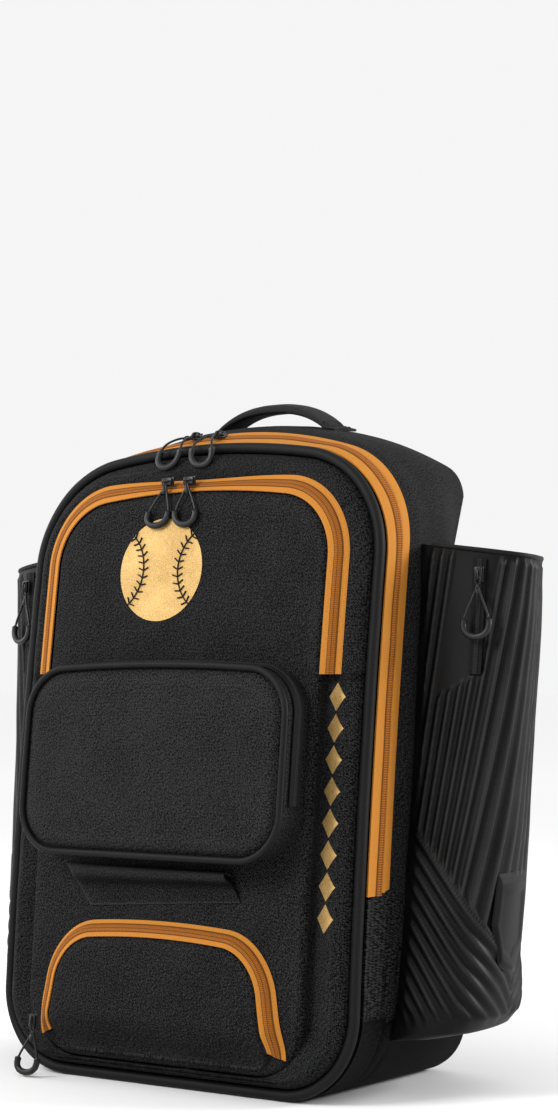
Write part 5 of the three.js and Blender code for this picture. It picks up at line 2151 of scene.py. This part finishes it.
@dataclass
class Studio:
    """Floor, soft lights and the camera at the photograph's angle. Places are in metres, power in watts."""

    eye: tuple[float, float, float] = (1.2277, -1.6363, 0.3342)
    target: tuple[float, float, float] = (0.0389, 0.0, 0.4346)
    lens: float = 77.70
    floor_radius: float = 40.0
    look_at: tuple[float, float, float] = (0.0, 0.0, 0.28)

    LIGHTS = (
        ("key_light", (-1.0, -2.6, 2.1), 1.3, 88.0),
        ("rim_light", (2.3, 1.5, 1.2), 0.8, 80.0),
        ("left_light", (-2.4, -0.6, 0.9), 1.2, 22.0),
    )

    def build(self) -> None:
        """Makes the floor, lights and camera."""
        paint = Paint("studio_floor", Roughness=0.9, Specular_IOR_Level=0.0)
        # The floor is painted darker near the bag, as painted shade where the lamps' light falls, and
        # brighter far from it, as painted light where their light doesn't reach, so it looks evenly pale.
        spot = paint.node("VectorMath", {"operation": "LENGTH"}, {0: paint.coordinates("Object")}, "Value")
        reach = {"Value": spot, "From Min": 0.4, "From Max": 6.0}
        far = paint.node("MapRange", {"interpolation_type": "SMOOTHSTEP"}, reach)
        paint.feed("Base Color", paint.blend(far, (0.76, 0.76, 0.76), (0.99, 0.99, 0.99)))
        bm = bmesh.new()
        bmesh.ops.create_circle(bm, cap_ends=True, segments=96, radius=self.floor_radius)
        mesh = bpy.data.meshes.new("floor")
        bm.to_mesh(mesh)
        bm.free()
        mesh.materials.append(paint.material)
        floor = bpy.data.objects.new("floor", mesh)
        bpy.context.scene.collection.objects.link(floor)
        for name, spot, size, power in self.LIGHTS:
            self.light(name, spot, size, power)
        bpy.context.scene.view_settings.view_transform = "Standard"
        world = bpy.data.worlds.new("studio_world")
        world.use_nodes = True
        back = world.node_tree.nodes["Background"]
        back.inputs["Color"].default_value = (0.915, 0.915, 0.915, 1.0)
        back.inputs["Strength"].default_value = 1.0
        bpy.context.scene.world = world
        camera = bpy.data.cameras.new("camera")
        camera.lens = self.lens
        camera.sensor_width = 36.0
        camera.clip_end = 100.0
        seat = bpy.data.objects.new("camera", camera)
        seat.location = self.eye
        aim = Vector(self.target) - Vector(self.eye)
        seat.rotation_euler = aim.to_track_quat("-Z", "Y").to_euler()
        bpy.context.scene.collection.objects.link(seat)
        bpy.context.scene.camera = seat

    def light(self, name: str, spot: tuple[float, float, float], size: float, power: float) -> None:
        """Adds one soft square light that faces the bag."""
        lamp = bpy.data.lights.new(name, "AREA")
        lamp.size = size
        lamp.energy = power
        thing = bpy.data.objects.new(name, lamp)
        thing.location = spot
        aim = Vector(self.look_at) - Vector(spot)
        thing.rotation_euler = aim.to_track_quat("-Z", "Y").to_euler()
        bpy.context.scene.collection.objects.link(thing)


def main() -> None:
    """Builds the bag piece by piece."""
    logging.basicConfig(level=logging.INFO, format="%(message)s")
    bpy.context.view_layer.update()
    Studio().build()
    Shell().build()
    panel = FrontPanel()
    panel.build()
    tall = TallPocket(
        "tall_pocket",
        "front_pocket",
        TALL,
        lambda z: TALL_FLOOR,
        TALL_FACE,
        edge=6.0,
        bulge=1.6,
        cells=92,
        seed=50.0,
        sink=7.5,
        sink_reach=50.0,
        # painted shade: the tall pocket's face is painted a little darker
        shade=-0.09,
    )
    tall.build()
    brow = BrowPocket(
        "box_pocket",
        "brow_pocket",
        BROW,
        tall.level,
        TALL_FACE + BROW_DEPTH,
        edge=6.0,
        bulge=3.0,
        cells=88,
        fold=0.9,
        seed=60.0,
        # painted light: the raised pocket's face, which tips up towards the light, is painted a little
        # lighter
        shade=0.08,
    )
    brow.build()
    brow.piping()
    foot = Pocket(
        "foot_pocket",
        "low_pocket",
        LOW,
        tall.level,
        TALL_FACE + LOW_DEPTH,
        edge=5.0,
        bulge=1.8,
        cells=72,
        seed=70.0,
        sink=16.0,
        sink_reach=34.0,
        # painted shade: the foot pocket's face is painted darker
        shade=-0.14,
    )
    foot.build()
    MainZip().build()
    FrontZip(
        "tall_pocket_zip",
        "upper_pocket_zip",
        TALL,
        end=335.0,
        width=16.5,
        high=lambda z: tall.level(z) - 0.5,
        low=lambda z: PANEL_RISE + 1.2,
    ).build()
    FrontZip(
        "foot_pocket_zip",
        "low_pocket_zip",
        LOW,
        end=40.0,
        width=14.5,
        high=lambda z: foot.level(z) - 1.0,
        low=lambda z: tall.level(z) + 1.6,
        columns=160,
        pinch=0.1,
    ).build()
    BoxPocketZip().build()
    FrontBand().build()
    sleeves = [BatSleeve(side) for side in Side]
    for sleeve in sleeves:
        sleeve.build()
    HaulHandle().build()
    for side in Side:
        BackPad(side).build()
        Strap(side).build()
    ZipHardware().build(sleeves)
    FoilTrim(tall, panel).build()


if __name__ == "__main__":
    main()
